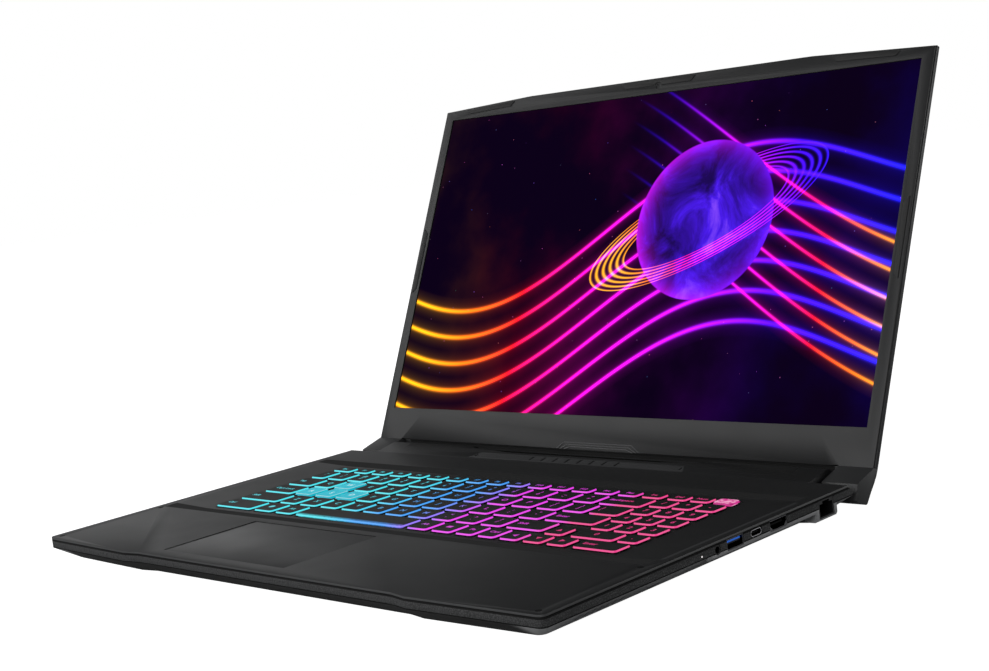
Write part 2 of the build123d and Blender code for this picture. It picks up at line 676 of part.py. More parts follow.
keep(usb_a_socket([(1, USB_A)]), "usb_a_socket_right")
keep(usb_a_socket([(-1, socket) for socket in USB_LEFT]), "usb_a_sockets_left")

with BuildPart() as usb_tongues:
    for side, (y, z, width, height) in [(1, USB_A)] + [(-1, socket) for socket in USB_LEFT]:
        tongue_z = z + height / 2 - TONGUE_DROP - TONGUE / 2
        socket_body(side, y, tongue_z, width - 1.3, TONGUE, inset=SOCKET_FACE + 1.0, deep=SOCKET_DEPTH - 2.5)
keep(usb_tongues, "usb_tongues")

with BuildPart() as usb_c_socket:
    y, z, width, height = USB_C
    for grow, deep, mode in ((2 * SHELL, SOCKET_DEPTH, Mode.ADD), (0, SOCKET_DEPTH - 1.5, Mode.SUBTRACT)):
        with BuildSketch(side_plane(1, SOCKET_FACE)) as mouth:
            with Locations((y, z)):
                SlotOverall(width + grow, height + grow)
        extrude(mouth.sketch, amount=-deep, mode=mode)
        if mode is Mode.ADD:
            socket_foot(1, y, width - 2, z - height / 2)
    socket_body(1, y, z, width - 2.2, 0.7, inset=SOCKET_FACE + 1.2, deep=SOCKET_DEPTH - 2.6)
keep(usb_c_socket, "usb_c_socket")

with BuildPart() as hdmi_socket:
    y, z, width, height = HDMI
    socket_body(1, y, z, width, height, grow=2 * SHELL)
    socket_foot(1, y, width - 3, z - height / 2)
    with BuildSketch(side_plane(1, SOCKET_FACE)) as mouth:
        with Locations((y, z)):
            Polygon((-width / 2, height / 2), (width / 2, height / 2), (width / 2, -height / 2 + 2.2),
                    (width / 2 - 2.2, -height / 2), (-width / 2 + 2.2, -height / 2),
                    (-width / 2, -height / 2 + 2.2), align=None)
    extrude(mouth.sketch, amount=1.5 - SOCKET_DEPTH, mode=Mode.SUBTRACT)
    socket_body(1, y, z + 0.3, width - 3.4, 0.9, inset=SOCKET_FACE + 1.2, deep=SOCKET_DEPTH - 2.6)
keep(hdmi_socket, "hdmi_socket")

with BuildPart() as network_socket:
    lan_height = LAN_BODY_TOP - LAN_BODY_FOOT
    socket_body(1, LAN_Y, (LAN_BODY_TOP + LAN_BODY_FOOT) / 2, LAN_BODY_W, lan_height)
    mouth_deep = SOCKET_DEPTH - 1.5
    socket_body(1, LAN_Y, LAN_TOP - LAN_H / 2, LAN_W, LAN_H, Mode.SUBTRACT, deep=mouth_deep)
    socket_body(1, LAN_Y, LAN_TOP + LATCH_H / 2, LATCH_W, LATCH_H, Mode.SUBTRACT, deep=mouth_deep)
keep(network_socket, "network_socket")

with BuildPart() as audio_jack:
    with BuildSketch(side_plane(1, SOCKET_FACE)) as rim:
        with Locations((JACK_Y, JACK_Z)):
            Circle(JACK_BODY_R)
    extrude(rim.sketch, amount=-SOCKET_DEPTH)
    block(HALF - SOCKET_DEPTH + 2, JACK_Y, (4.6, 5.6), BOARD_TOP, JACK_Z + JACK_BODY_R)
    with BuildSketch(side_plane(1, SOCKET_FACE)) as bore:
        with Locations((JACK_Y, JACK_Z)):
            Circle(JACK_R)
    extrude(bore.sketch, amount=1.5 - SOCKET_DEPTH, mode=Mode.SUBTRACT)
keep(audio_jack, "audio_jack")

with BuildPart() as status_light:
    with BuildSketch(side_plane(1, 0.1)) as lens:
        with Locations((LIGHT_Y, JACK_Z)):
            Circle(LIGHT_R)
    extrude(lens.sketch, amount=-9)
    block(HALF - 9, LIGHT_Y, (1.5, 1.5), BOARD_TOP, JACK_Z)
keep(status_light, "status_light")

with BuildPart() as power_inlet:
    with BuildSketch(side_plane(-1, SOCKET_FACE)) as rim:
        with Locations((-POWER_Y, POWER_Z)):
            RegularPolygon(POWER_BODY_R, ROUND)
    extrude(rim.sketch, amount=-SOCKET_DEPTH)
    with BuildSketch(side_plane(-1, SOCKET_FACE)) as bore:
        with Locations((-POWER_Y, POWER_Z)):
            RegularPolygon(POWER_R, ROUND)
            RegularPolygon(0.85, HEX, mode=Mode.SUBTRACT)
    extrude(bore.sketch, amount=1.5 - SOCKET_DEPTH, mode=Mode.SUBTRACT)
    block(-HALF + SOCKET_DEPTH + 4, POWER_Y, (9, 2 * POWER_BODY_R), BOARD_TOP, POWER_Z + 1)
keep(power_inlet, "power_inlet")

# ================================================================ inside the base
BATTERY = (256.0, 58.0, 5.6)
BATTERY_Y = 50.0
SPEAKER = (40.0, 46.0, 5.0)
SPEAKER_X = 160.0
SPEAKER_Y = 48.0
FAN_TOP = -5.6
FAN_PLATE = 0.8
FAN_INLET_R = 20.0
FAN_OUTLET_Y = 248.0
ROTOR_R = 27.0
ROTOR_LOW = -10.9
ROTOR_HIGH = -6.9
HUB_R = 11.0
BEARING_R = 3.4
BLADES = 17
BLADE_W = 0.8
FIN_W = 66.0
FIN_Y = 252.7
FIN_D = 9.0
FIN_TOP = -5.8
CHANNELS = 11
CHIPS = [(-22, 176, 30, 28), (24, 175, 34, 34)]
CHIP_THICK = 0.8
COLD_PLATE = 0.8
PIPE_THICK = 1.8
PIPE_W = 7.0
PIPE_BEND = 12.0
PLATE_LAP = 4.0
CHIP_FOOT = BOARD_FOOT - CHIP_THICK
PIPE_TOP = CHIP_FOOT - COLD_PLATE
PIPES = [[(-146, FIN_Y), (-62, FIN_Y), (-44, 184), (42, 184)], [(146, FIN_Y), (62, FIN_Y), (57, 166), (-36, 166)]]

with BuildPart() as mainboard:
    with BuildSketch(deck(BOARD_FOOT)):
        with Locations((0, 138)):
            Rectangle(383, 76)
        with Locations((0, 208)):
            Rectangle(152, 70)
        for side in (-1, 1):
            with Locations((side * 179, 200)):
                Rectangle(26, 56)
            with Locations((side * 190, 222)):
                Rectangle(16, 24, mode=Mode.SUBTRACT)
    extrude(amount=BOARD_TOP - BOARD_FOOT)
keep(mainboard, "mainboard")

with BuildPart() as processor_chips:
    for x, y, width, depth in CHIPS:
        block(x, y, (width, depth), CHIP_FOOT, BOARD_FOOT)
keep(processor_chips, "processor_chips")

with BuildPart() as cold_plates:
    for x, y, width, depth in CHIPS:
        block(x, y, (width + PLATE_LAP, depth + PLATE_LAP), PIPE_TOP, CHIP_FOOT)
keep(cold_plates, "cold_plates")

with BuildPart() as heat_pipes:
    for route in PIPES:
        with BuildSketch(deck(PIPE_TOP - PIPE_THICK)):
            with BuildLine():
                FilletPolyline(*route, radius=PIPE_BEND)
            trace(line_width=PIPE_W)
        extrude(amount=PIPE_THICK)
keep(heat_pipes, "heat_pipes")


def fin_stack(side):
    """Cooling fins between two fans' outlets and the rear grille, as a block with air channels."""
    with BuildPart() as fins:
        block(side * GRILLE_X, FIN_Y, (FIN_W, FIN_D), PIPE_TOP, FIN_TOP)
        with BuildSketch(Plane.XZ.offset(-(Y_SHIFT + FIN_Y - FIN_D / 2))) as ends:
            with Locations((side * GRILLE_X, DECK_HEIGHT + (PIPE_TOP + FIN_TOP) / 2)):
                with GridLocations(FIN_W / CHANNELS, 1, CHANNELS, 1):
                    Rectangle(FIN_W / CHANNELS - 0.9, FIN_TOP - PIPE_TOP - 0.9)
        extrude(ends.sketch, amount=-FIN_D, mode=Mode.SUBTRACT)
    return fins


def fan_face(side, height, inset):
    """A fan housing's plan: a round chamber with a straight outlet to the rear."""
    with BuildSketch(deck(height)) as plan:
        with Locations((side * GRILLE_X, GRILLE_Y)):
            RegularPolygon(FAN_HOUSE_R - inset, CHAMBER, rotation=180 / CHAMBER)
        with Locations((side * GRILLE_X, GRILLE_Y)):
            outlet_w = 2 * (FAN_HOUSE_R - inset) * cos(pi / CHAMBER)
            Rectangle(outlet_w, FAN_OUTLET_Y - GRILLE_Y, align=(Align.CENTER, Align.MIN))
    return plan.sketch


def fan_housing(side):
    """Housing with an inlet above and below, and a bearing carried on three spokes."""
    with BuildPart() as housing:
        extrude(fan_face(side, FLOOR_TOP, 0), amount=FAN_TOP - FLOOR_TOP)
        inner = FAN_TOP - FLOOR_TOP - 2 * FAN_PLATE
        extrude(fan_face(side, FLOOR_TOP + FAN_PLATE, FAN_PLATE), amount=inner, mode=Mode.SUBTRACT)
        with BuildSketch(deck(FLOOR_TOP)) as inlets:
            with Locations((side * GRILLE_X, GRILLE_Y)):
                RegularPolygon(FAN_INLET_R, CHAMBER)
        extrude(inlets.sketch, amount=FAN_TOP - FLOOR_TOP, mode=Mode.SUBTRACT)
        with BuildSketch(deck(FLOOR_TOP)) as spokes:
            with Locations((side * GRILLE_X, GRILLE_Y)):
                with PolarLocations(0, 3):
                    Rectangle(FAN_INLET_R + 0.5, 3, align=(Align.MIN, Align.CENTER))
        extrude(spokes.sketch, amount=FAN_PLATE)
        with BuildSketch(deck(FLOOR_TOP)) as bearing:
            with Locations((side * GRILLE_X, GRILLE_Y)):
                RegularPolygon(BEARING_R, ROUND)
        extrude(bearing.sketch, amount=3.3)
        with BuildSketch(deck(FLOOR_TOP)) as bore:
            with Locations((side * GRILLE_X, GRILLE_Y)):
                Circle(SHAFT_R + PIN_CLEAR)
        extrude(bore.sketch, amount=3.3, mode=Mode.SUBTRACT)
    return housing


def fan_rotor(side):
    """Hub on a shaft, with thin blades that lean back from the radius."""
    with BuildPart() as rotor:
        with BuildSketch(deck(ROTOR_LOW + 0.4)) as blades:
            with Locations((side * GRILLE_X, GRILLE_Y)):
                with PolarLocations(HUB_R - 1.0, BLADES):
                    with Locations(Location((0, 0), side * 28)):
                        Rectangle(ROTOR_R - HUB_R + 1.0, BLADE_W, align=(Align.MIN, Align.CENTER))
        extrude(blades.sketch, amount=ROTOR_HIGH - ROTOR_LOW - 0.9)
        with BuildSketch(deck(ROTOR_LOW)) as hub:
            with Locations((side * GRILLE_X, GRILLE_Y)):
                RegularPolygon(HUB_R, 2 * BLADES)
        extrude(hub.sketch, amount=ROTOR_HIGH - ROTOR_LOW)
        with BuildSketch(deck(ROTOR_LOW)) as well:
            with Locations((side * GRILLE_X, GRILLE_Y)):
                RegularPolygon(BEARING_R + RUN_CLEAR, ROUND, major_radius=False)
        extrude(well.sketch, amount=3.0, mode=Mode.SUBTRACT)
        with BuildSketch(deck(FLOOR_TOP + 0.3)) as shaft:
            with Locations((side * GRILLE_X, GRILLE_Y)):
                Circle(SHAFT_R)
        extrude(shaft.sketch, amount=ROTOR_HIGH - FLOOR_TOP - 0.3)
    return rotor


for side, name in ((-1, "left"), (1, "right")):
    keep(fin_stack(side), f"fin_stack_{name}")
    keep(fan_housing(side), f"fan_housing_{name}")
    keep(fan_rotor(side), f"fan_rotor_{name}")

with BuildPart() as battery:
    cells = 6
    cell_w = BATTERY[0] / cells
    block(0, BATTERY_Y, BATTERY[:2], FLOOR_TOP, FLOOR_TOP + BATTERY[2])
    with BuildSketch(deck(FLOOR_TOP + BATTERY[2])) as seams:
        with Locations((0, BATTERY_Y)):
            with GridLocations(cell_w, 1, cells - 1, 1):
                Rectangle(0.8, BATTERY[1])
    extrude(seams.sketch, amount=-0.6, mode=Mode.SUBTRACT)
keep(battery, "battery")

with BuildPart() as speakers:
    for side in (-1, 1):
        block(side * SPEAKER_X, SPEAKER_Y, SPEAKER[:2], FLOOR_TOP, FLOOR_TOP + SPEAKER[2])
    edges_up = edges().filter_by(Axis.Z)
    chamfer(edges_up, 4)
keep(speakers, "speakers")

with BuildPart() as solid_state_drive:
    block(-82, 120, (80, 22), BOARD_FOOT - 2.2, BOARD_FOOT)
keep(solid_state_drive, "solid_state_drive")

with BuildPart() as memory_modules:
    for y in (108, 126):
        block(85, y, (69.6, 15), BOARD_FOOT - 3.0, BOARD_FOOT)
keep(memory_modules, "memory_modules")

with BuildPart() as wireless_card:
    block(-158, 150, (22, 30), BOARD_FOOT - 2.4, BOARD_FOOT)
keep(wireless_card, "wireless_card")

# ================================================================ hinges
BRACKET_X = 163.0
KNUCKLE_R = 3.5
KNUCKLE_HALF = 9.2
LEAF = 1.2
ARM_X = 184.5
ARM_HALF = 4.5
ARM_FOOT_R = 2.9
PIN_IN = 156.0
COVER_WALL = 1.2


def hinge_bracket(side):
    """Steel bracket on the lower shell's floor, with the knuckle that the lid's pin turns in."""
    with BuildPart() as bracket:
        block(side * (BRACKET_X - 1.5), 245, (21, 22), FLOOR_TOP, FLOOR_TOP + LEAF)
        with BuildSketch(base_slice(side * BRACKET_X)) as ear:
            Polygon((248, FLOOR_TOP + LEAF), (256, FLOOR_TOP + LEAF), (AXIS_Y + 3.2, -AXIS_DROP),
                    (AXIS_Y - 3.2, -AXIS_DROP), align=None)
        extrude(ear.sketch, amount=4, both=True)
        with BuildSketch(base_slice(side * BRACKET_X)) as knuckle:
            with Locations((AXIS_Y, -AXIS_DROP)):
                RegularPolygon(KNUCKLE_R, ROUND)
        extrude(knuckle.sketch, amount=KNUCKLE_HALF, both=True)
        with BuildSketch(base_slice(side * BRACKET_X)) as bore:
            with Locations((AXIS_Y, -AXIS_DROP)):
                Circle(PIN_R + PIN_CLEAR)
        extrude(bore.sketch, amount=KNUCKLE_HALF + 1, both=True, mode=Mode.SUBTRACT)
    return bracket


ARM = [(-2.2, -2.4), (1.2, 2.4), (8.4, -5.8), (17, -5.8), (23, -8.85), (62, -8.85), (62, -10.1), (20, -10.1),
       (12, -7.2), (6, -6.3), (2, -5.0)]


def hinge_arm(side):
    """Steel arm inside the lid, with the pin that turns in the base's knuckle."""
    with BuildPart() as arm:
        with BuildSketch(lid_slice(side * ARM_X)) as web:
            Polygon(*ARM, align=None)
            RegularPolygon(ARM_FOOT_R, ROUND)
        extrude(web.sketch, amount=ARM_HALF, both=True)
        pin_length = ARM_X - PIN_IN
        with BuildSketch(lid_slice(side * (PIN_IN + pin_length / 2))) as pin:
            Circle(PIN_R)
        extrude(pin.sketch, amount=pin_length / 2, both=True)
    return arm


COVER_DEEP = [(LID_FOOT, -BEZEL_DROP), (-2.1, 9.2), (-10.7, 7.7), (-11.4, 6.4), (-10.9, -2.4), (-9.6, -4.3),
              (-3.0, -7.6), (3.0, -10.0), (6.5, -11.1), (LID_FOOT, -BEZEL_DROP - LID_THICK)]
COVER_END = [(LID_FOOT, -BEZEL_DROP), (-2.1, 9.2), (-10.7, 7.7), (-11.4, 6.4), (-10.9, -2.4), (-10.1, -3.35),
             (-3.7, -5.06), (2.1, -7.0), (6.1, -8.0), (LID_FOOT, -BEZEL_DROP - RIM_DEPTH)]


def hinge_cover(side):
    """Moulded cover of a hinge, which carries the lid's side face down behind the base."""
    with BuildPart() as cover:
        with BuildSketch(lid_slice(side * COVER_IN)) as inner_end:
            Polygon(*COVER_DEEP, align=None)
        extrude(inner_end.sketch, amount=side * (HALF - LID_BEVEL - COVER_IN))
        with BuildSketch(lid_slice(side * (HALF - LID_BEVEL))) as shoulder:
            Polygon(*COVER_DEEP, align=None)
        with BuildSketch(lid_slice(side * HALF)) as outer_end:
            Polygon(*COVER_END, align=None)
        loft([shoulder.sketch, outer_end.sketch], ruled=True)
        with BuildSketch(lid_slice(side * (COVER_IN + COVER_WALL))) as hollow:
            Polygon(*COVER_DEEP, align=None)
            offset(amount=-COVER_WALL, kind=Kind.INTERSECTION)
        extrude(hollow.sketch, amount=side * (HALF - LID_BEVEL - COVER_IN - COVER_WALL + 1), mode=Mode.SUBTRACT)
        with BuildSketch(lid_slice(side * ARM_X)) as throat:
            Polygon((4, -4.4), (LID_FOOT + 1, -BEZEL_DROP - BEZEL_THICK), (LID_FOOT + 1, -7.2), (4, -6.5),
                    align=None)
        extrude(throat.sketch, amount=ARM_HALF + 0.5, both=True, mode=Mode.SUBTRACT)
        with BuildSketch(lid_slice(side * COVER_IN)) as pin_hole:
            RegularPolygon(PIN_R + 0.15, ROUND)
        extrude(pin_hole.sketch, amount=COVER_WALL + 1, both=True, mode=Mode.SUBTRACT)
    return cover


for side, name in ((-1, "left"), (1, "right")):
    keep(hinge_bracket(side), f"hinge_bracket_{name}")
    keep(hinge_arm(side), f"hinge_arm_{name}")
    keep(hinge_cover(side), f"hinge_cover_{name}")

# ================================================================ lid
LID_FLOOR = 5.8  # inner face of the back shell, behind the bezel's face
LID_CORNER_R = 3.5
CHIN_TOP = 27.3
CHIN_HALF_TOP = 162.0
CHIN_HALF_FOOT = 176.6
CHIN_SINK = 2.77
CHIN_FOOT = 10.2  # lower edge of the chin, a little above the bezel's ends
CHIN_END = 9.0  # how far the sloping ends of the chin reach in, at its deepest
CHIN_BLOCK = 3.9
NOTCH = [(34.0, 27.5, 14.5), (31.0, 25.0, 13.2), (28.0, 22.5, 12.0)]
NOTCH_STEP = 0.3
CAMERA_X = -0.9
CAMERA_Y = 251.2
CAMERA_R = 1.6
BUMPER_SINK = 0.5
BUMPER_PROUD = 0.4
PANEL_FOOT = SCREEN_FOOT - PANEL_EDGE
PANEL_TOP = SCREEN_FOOT + SCREEN_H + PANEL_EDGE


def lid_face(depth, inset=0.0, foot=LID_FOOT):
    """The lid's outline as a face at a depth, its upper corners rounded."""
    with BuildSketch(lid(depth)) as plan:
        Polygon(*lid_outline(inset, foot), align=None)
        upper = [v for v in vertices() if abs(v.X) > LID_KINK + 20 and v.Z > HINGE.origin.Z + 100]
        fillet(upper, LID_CORNER_R)
    return plan.sketch


def lid_block(x, size, foot, shallow, deep, mode=Mode.ADD):
    """A block in the lid: its middle x, its (width, height), its lower edge and its two depths."""
    with BuildSketch(lid(deep)) as plan:
        with Locations((x, foot)):
            Rectangle(*size, align=(Align.CENTER, Align.MIN))
    extrude(plan.sketch, amount=deep - shallow, mode=mode)


with BuildPart() as lid_cover:
    extrude(lid_face(RIM_DEPTH), amount=RIM_DEPTH - BEZEL_THICK)
    with BuildSketch(lid(RIM_DEPTH)) as rim:
        Polygon(*lid_outline(), align=None)
    with BuildSketch(lid(LID_THICK)) as back:
        Polygon(*lid_outline(LID_BEVEL), align=None)
    loft([rim.sketch, back.sketch], ruled=True)
    lid_block(0, (2 * COVER_IN - 0.4, LID_FOOT - LID_TAIL), LID_TAIL, LID_THICK - 2.2, LID_THICK)
    extrude(lid_face(3.4, WALL, LID_FOOT + LID_WALL), amount=3.4 - BEZEL_THICK, mode=Mode.SUBTRACT)
    with BuildSketch(lid(3.4)) as hollow_rim:
        Polygon(*lid_outline(WALL, LID_FOOT + LID_WALL), align=None)
    with BuildSketch(lid(LID_FLOOR)) as hollow_floor:
        Polygon(*lid_outline(8.4, LID_FOOT + LID_WALL), align=None)
    loft([hollow_rim.sketch, hollow_floor.sketch], ruled=True, mode=Mode.SUBTRACT)
    lid_block(0, (2 * CHIN_HALF_FOOT + 0.4, 20), LID_FOOT - 1, BEZEL_THICK, CHIN_BLOCK + 0.05, Mode.SUBTRACT)
    for side in (-1, 1):
        lid_block(side * ARM_X, (2 * ARM_HALF + 1, 4), LID_FOOT - 1, BEZEL_THICK, 3.0, Mode.SUBTRACT)
        for x in (60, 150):
            lid_block(side * x, (6, 200), 36, BEZEL_THICK + PANEL_THICK, LID_FLOOR)
    camera_seat = BEZEL_THICK + 3.0
    lid_block(0, (20, 3.0), CAMERA_Y - 1.5, camera_seat, LID_FLOOR)
keep(lid_cover, "lid_cover")

CHIN_TILT = atan2(CHIN_SINK, CHIN_TOP - LID_FOOT)
FACET = Plane(
    origin=lid().from_local_coords(Vector(0, CHIN_TOP, 0)),
    x_dir=(1, 0, 0),
    z_dir=HINGE.z_dir * cos(CHIN_TILT) - HINGE.y_dir * sin(CHIN_TILT),
)

CHIN_FLARE = (CHIN_HALF_FOOT - CHIN_HALF_TOP) / (CHIN_TOP - LID_FOOT)
CHIN_BELOW = 3.0


def chin_outline(depth, inset):
    """The chin's outline at a depth, its ends drawn in."""
    top = CHIN_HALF_TOP - inset
    foot = CHIN_HALF_FOOT + CHIN_FLARE * CHIN_BELOW - inset
    low = LID_FOOT - CHIN_BELOW
    with BuildSketch(lid(depth)) as plan:
        Polygon((-top, CHIN_TOP), (top, CHIN_TOP), (foot, low), (-foot, low), align=None)
    return plan.sketch


with BuildPart() as chin_hollow:
    chin_deep = CHIN_SINK * (CHIN_TOP - LID_FOOT + CHIN_BELOW) / (CHIN_TOP - LID_FOOT)
    loft([chin_outline(0, 0), chin_outline(chin_deep, CHIN_END)], ruled=True)
    with BuildSketch(lid_slice(-HALF)):
        Polygon((CHIN_TOP, -BEZEL_DROP), (LID_FOOT - CHIN_BELOW, -BEZEL_DROP - chin_deep),
                (LID_FOOT - CHIN_BELOW, -BEZEL_DROP + 1), (CHIN_TOP, -BEZEL_DROP + 1), align=None)
    extrude(amount=WIDTH, mode=Mode.INTERSECT)

BUMPERS = [
    ((-31.7, 255.6), (-28.5, 252.0), (25.4, 252.0), (28.6, 255.6)),
    ((130.6, 255.0), (133.9, 251.3), (173.6, 249.9), (176.8, 252.6)),
    ((-130.6, 255.0), (-133.9, 251.3), (-173.6, 249.9), (-176.8, 252.6)),
    ((196.6, 115.8), (193.2, 119.2), (193.2, 160.0), (196.6, 163.4)),
    ((-196.6, 115.8), (-193.2, 119.2), (-193.2, 160.0), (-196.6, 163.4)),
]

with BuildPart() as screen_bezel:
    extrude(lid_face(BEZEL_THICK, 0.5), amount=BEZEL_THICK)
    lid_block(0, (2 * CHIN_HALF_FOOT, PANEL_FOOT - 0.3 - LID_FOOT), LID_FOOT, 0, CHIN_BLOCK)
    add(chin_hollow.part, mode=Mode.SUBTRACT)
    lid_block(0, (2 * CHIN_HALF_FOOT, CHIN_FOOT - LID_FOOT), LID_FOOT, 0, CHIN_BLOCK, Mode.SUBTRACT)
    lid_block(0, (SCREEN_W, SCREEN_H), SCREEN_FOOT, 0, BEZEL_THICK, Mode.SUBTRACT)
    for i, (foot_half, top_half, top) in enumerate(NOTCH):
        foot_y = -(CHIN_TOP - LID_FOOT + 1) / cos(CHIN_TILT)
        top_y = -(CHIN_TOP - top) / cos(CHIN_TILT)
        with BuildSketch(FACET.offset(-NOTCH_STEP * (i + 1))):
            Polygon((-foot_half, foot_y), (foot_half, foot_y), (top_half, top_y), (-top_half, top_y), align=None)
        extrude(amount=NOTCH_STEP * (i + 1) + 0.2, mode=Mode.SUBTRACT)
    with BuildSketch(lid()):
        with Locations((CAMERA_X, CAMERA_Y)):
            Circle(CAMERA_R + 0.1)
    extrude(amount=-BEZEL_THICK, mode=Mode.SUBTRACT)
    with BuildSketch(lid(BUMPER_SINK)):
        for corners in BUMPERS:
            Polygon(*corners, align=None)
        with Locations((CAMERA_X, CAMERA_Y)):
            Circle(CAMERA_R + 1.2, mode=Mode.SUBTRACT)
    extrude(amount=BUMPER_SINK, mode=Mode.SUBTRACT)
keep(screen_bezel, "screen_bezel")

with BuildPart() as bezel_bumpers:
    with BuildSketch(lid(BUMPER_SINK)):
        for corners in BUMPERS:
            Polygon(*corners, align=None)
        with Locations((CAMERA_X, CAMERA_Y)):
            Circle(CAMERA_R + 1.2, mode=Mode.SUBTRACT)
    extrude(amount=BUMPER_SINK + BUMPER_PROUD)
keep(bezel_bumpers, "bezel_bumpers")

with BuildPart() as display_panel:
    panel = (SCREEN_W + 2 * PANEL_EDGE, PANEL_TOP - PANEL_FOOT)
    lid_block(0, panel, PANEL_FOOT, BEZEL_THICK, BEZEL_THICK + PANEL_THICK)
keep(display_panel, "display_panel")

with BuildPart() as webcam_module:
    lid_block(0, (60, 253.4 - PANEL_TOP - 0.2), PANEL_TOP + 0.2, BEZEL_THICK, BEZEL_THICK + 3.0)
    with BuildSketch(lid(BEZEL_THICK)):
        with Locations((CAMERA_X, CAMERA_Y)):
            Circle(CAMERA_R)
    extrude(amount=BEZEL_THICK - 0.3)
keep(webcam_module, "webcam_module")

for piece in PIECES:
    export_step(piece, f"parts/{piece.label}.step")
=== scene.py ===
# %% [markdown]
# # A 17.3 inch gaming laptop
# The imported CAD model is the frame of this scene: it fixes where each piece is and how it moves.
# Everything below gives those pieces their finish, and adds what is too fine for the CAD model,
# such as the lit legends on the keys. Lengths are in metres.

import json
from math import cos, hypot, pi, radians, sin

import bmesh
import bpy
from mathutils import Matrix, Vector

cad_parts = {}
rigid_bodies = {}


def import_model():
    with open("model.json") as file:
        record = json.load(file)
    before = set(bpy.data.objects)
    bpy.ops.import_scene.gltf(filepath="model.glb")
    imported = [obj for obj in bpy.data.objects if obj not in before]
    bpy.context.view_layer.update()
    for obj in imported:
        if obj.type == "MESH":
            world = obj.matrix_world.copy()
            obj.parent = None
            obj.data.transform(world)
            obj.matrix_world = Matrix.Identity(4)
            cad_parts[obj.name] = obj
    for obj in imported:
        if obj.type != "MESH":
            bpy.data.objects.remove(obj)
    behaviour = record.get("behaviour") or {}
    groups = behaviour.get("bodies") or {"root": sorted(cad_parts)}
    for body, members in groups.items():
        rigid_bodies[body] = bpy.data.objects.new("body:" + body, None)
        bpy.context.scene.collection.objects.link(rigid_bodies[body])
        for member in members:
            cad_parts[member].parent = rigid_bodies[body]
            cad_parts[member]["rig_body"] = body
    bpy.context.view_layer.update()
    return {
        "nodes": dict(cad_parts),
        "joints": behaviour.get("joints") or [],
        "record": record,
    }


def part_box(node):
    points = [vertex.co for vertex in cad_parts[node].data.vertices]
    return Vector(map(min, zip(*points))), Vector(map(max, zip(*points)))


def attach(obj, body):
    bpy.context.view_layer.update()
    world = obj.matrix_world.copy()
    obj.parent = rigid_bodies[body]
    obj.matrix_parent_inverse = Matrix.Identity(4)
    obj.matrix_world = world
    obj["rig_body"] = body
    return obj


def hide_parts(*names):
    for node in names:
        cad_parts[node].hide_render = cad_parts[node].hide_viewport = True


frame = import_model()
nodes = frame["nodes"]
MM = 0.001

# %% [markdown]
# The lid leans back from its hinge. The angle and the hinge's place are read from the frame, so the
# screen's picture and the bezel's small parts can be drawn in the lid's own directions: across,
# up the lid and out of the screen.

# %% Directions of the base and of the lid
lid_joint = next(joint for joint in frame["joints"] if joint["name"] == "lid_hinge")
hinge_point = Vector(lid_joint["pos_m"])
LEAN = radians(lid_joint["range_deg"][1] - 90)
lid_up = Vector((0, sin(LEAN), cos(LEAN)))
lid_out = Vector((0, -cos(LEAN), sin(LEAN)))
BEZEL_DROP = 4.43 * MM  # the bezel's face lies this far behind the hinge axis
DECK = 17.5 * MM  # height of the deck above the floor


def lid_place(x, up):
    """A point on the bezel's face: across, and up from the hinge axis."""
    return hinge_point + Vector((x, 0, 0)) + lid_up * up - lid_out * BEZEL_DROP


print("lid leans back", round(LEAN * 180 / pi, 2), "degrees")

# %% [markdown]
# ## Camera
# A product picture of a laptop is taken from the front right corner and from low down, with a long
# lens. The camera is given by its place and by the three directions of its picture.

# %% Camera
SENSOR_WIDE = 36
FOCAL_LENGTH = 60.34
CAMERA_PLACE = Vector((0.67732, -0.67148, 0.21946))
camera = bpy.data.objects.new("camera", bpy.data.cameras.new("camera"))
camera.data.sensor_width = SENSOR_WIDE
camera.data.lens = FOCAL_LENGTH
camera.data.clip_start = 0.01
camera.data.clip_end = 50
picture_right = Vector((0.71178, 0.69220, -0.11933))
picture_up = Vector((0.00196, 0.16793, 0.98580))
picture_back = Vector((0.70240, -0.70190, 0.11817))
camera.matrix_world = Matrix((
    (picture_right.x, picture_up.x, picture_back.x, CAMERA_PLACE.x),
    (picture_right.y, picture_up.y, picture_back.y, CAMERA_PLACE.y),
    (picture_right.z, picture_up.z, picture_back.z, CAMERA_PLACE.z),
    (0, 0, 0, 1),
))
bpy.context.scene.collection.objects.link(camera)
bpy.context.scene.camera = camera

# %% [markdown]
# ## Stage and light
# The laptop stands on a pale floor in front of white. Only the camera sees that white, straight or
# through clear material. All else is lit by a dim sky and the lamps, so the dark plastic keeps its depth.

# %% Colour view and background
scene = bpy.context.scene
scene.view_settings.view_transform = "Standard"
WHITE = (1, 1, 1, 1)
SKY = (0.93, 0.96, 1, 1)
SKY_STRENGTH = 0.09


def new_node(tree, kind, inputs=None, **settings):
    """A shader node with its settings, and its inputs as values or as links from other nodes."""
    made = tree.nodes.new(kind)
    for name, value in settings.items():
        setattr(made, name, value)
    for slot, value in (inputs or {}).items():
        if isinstance(value, bpy.types.NodeSocket):
            tree.links.new(value, made.inputs[slot])
        else:
            made.inputs[slot].default_value = value
    return made


def new_piece(name, shape, finishes):
    """A linked object made from a bmesh, with its finishes."""
    mesh = bpy.data.meshes.new(name)
    shape.to_mesh(mesh)
    shape.free()
    for finish in finishes:
        mesh.materials.append(finish)
    piece = bpy.data.objects.new(name, mesh)
    scene.collection.objects.link(piece)
    return piece


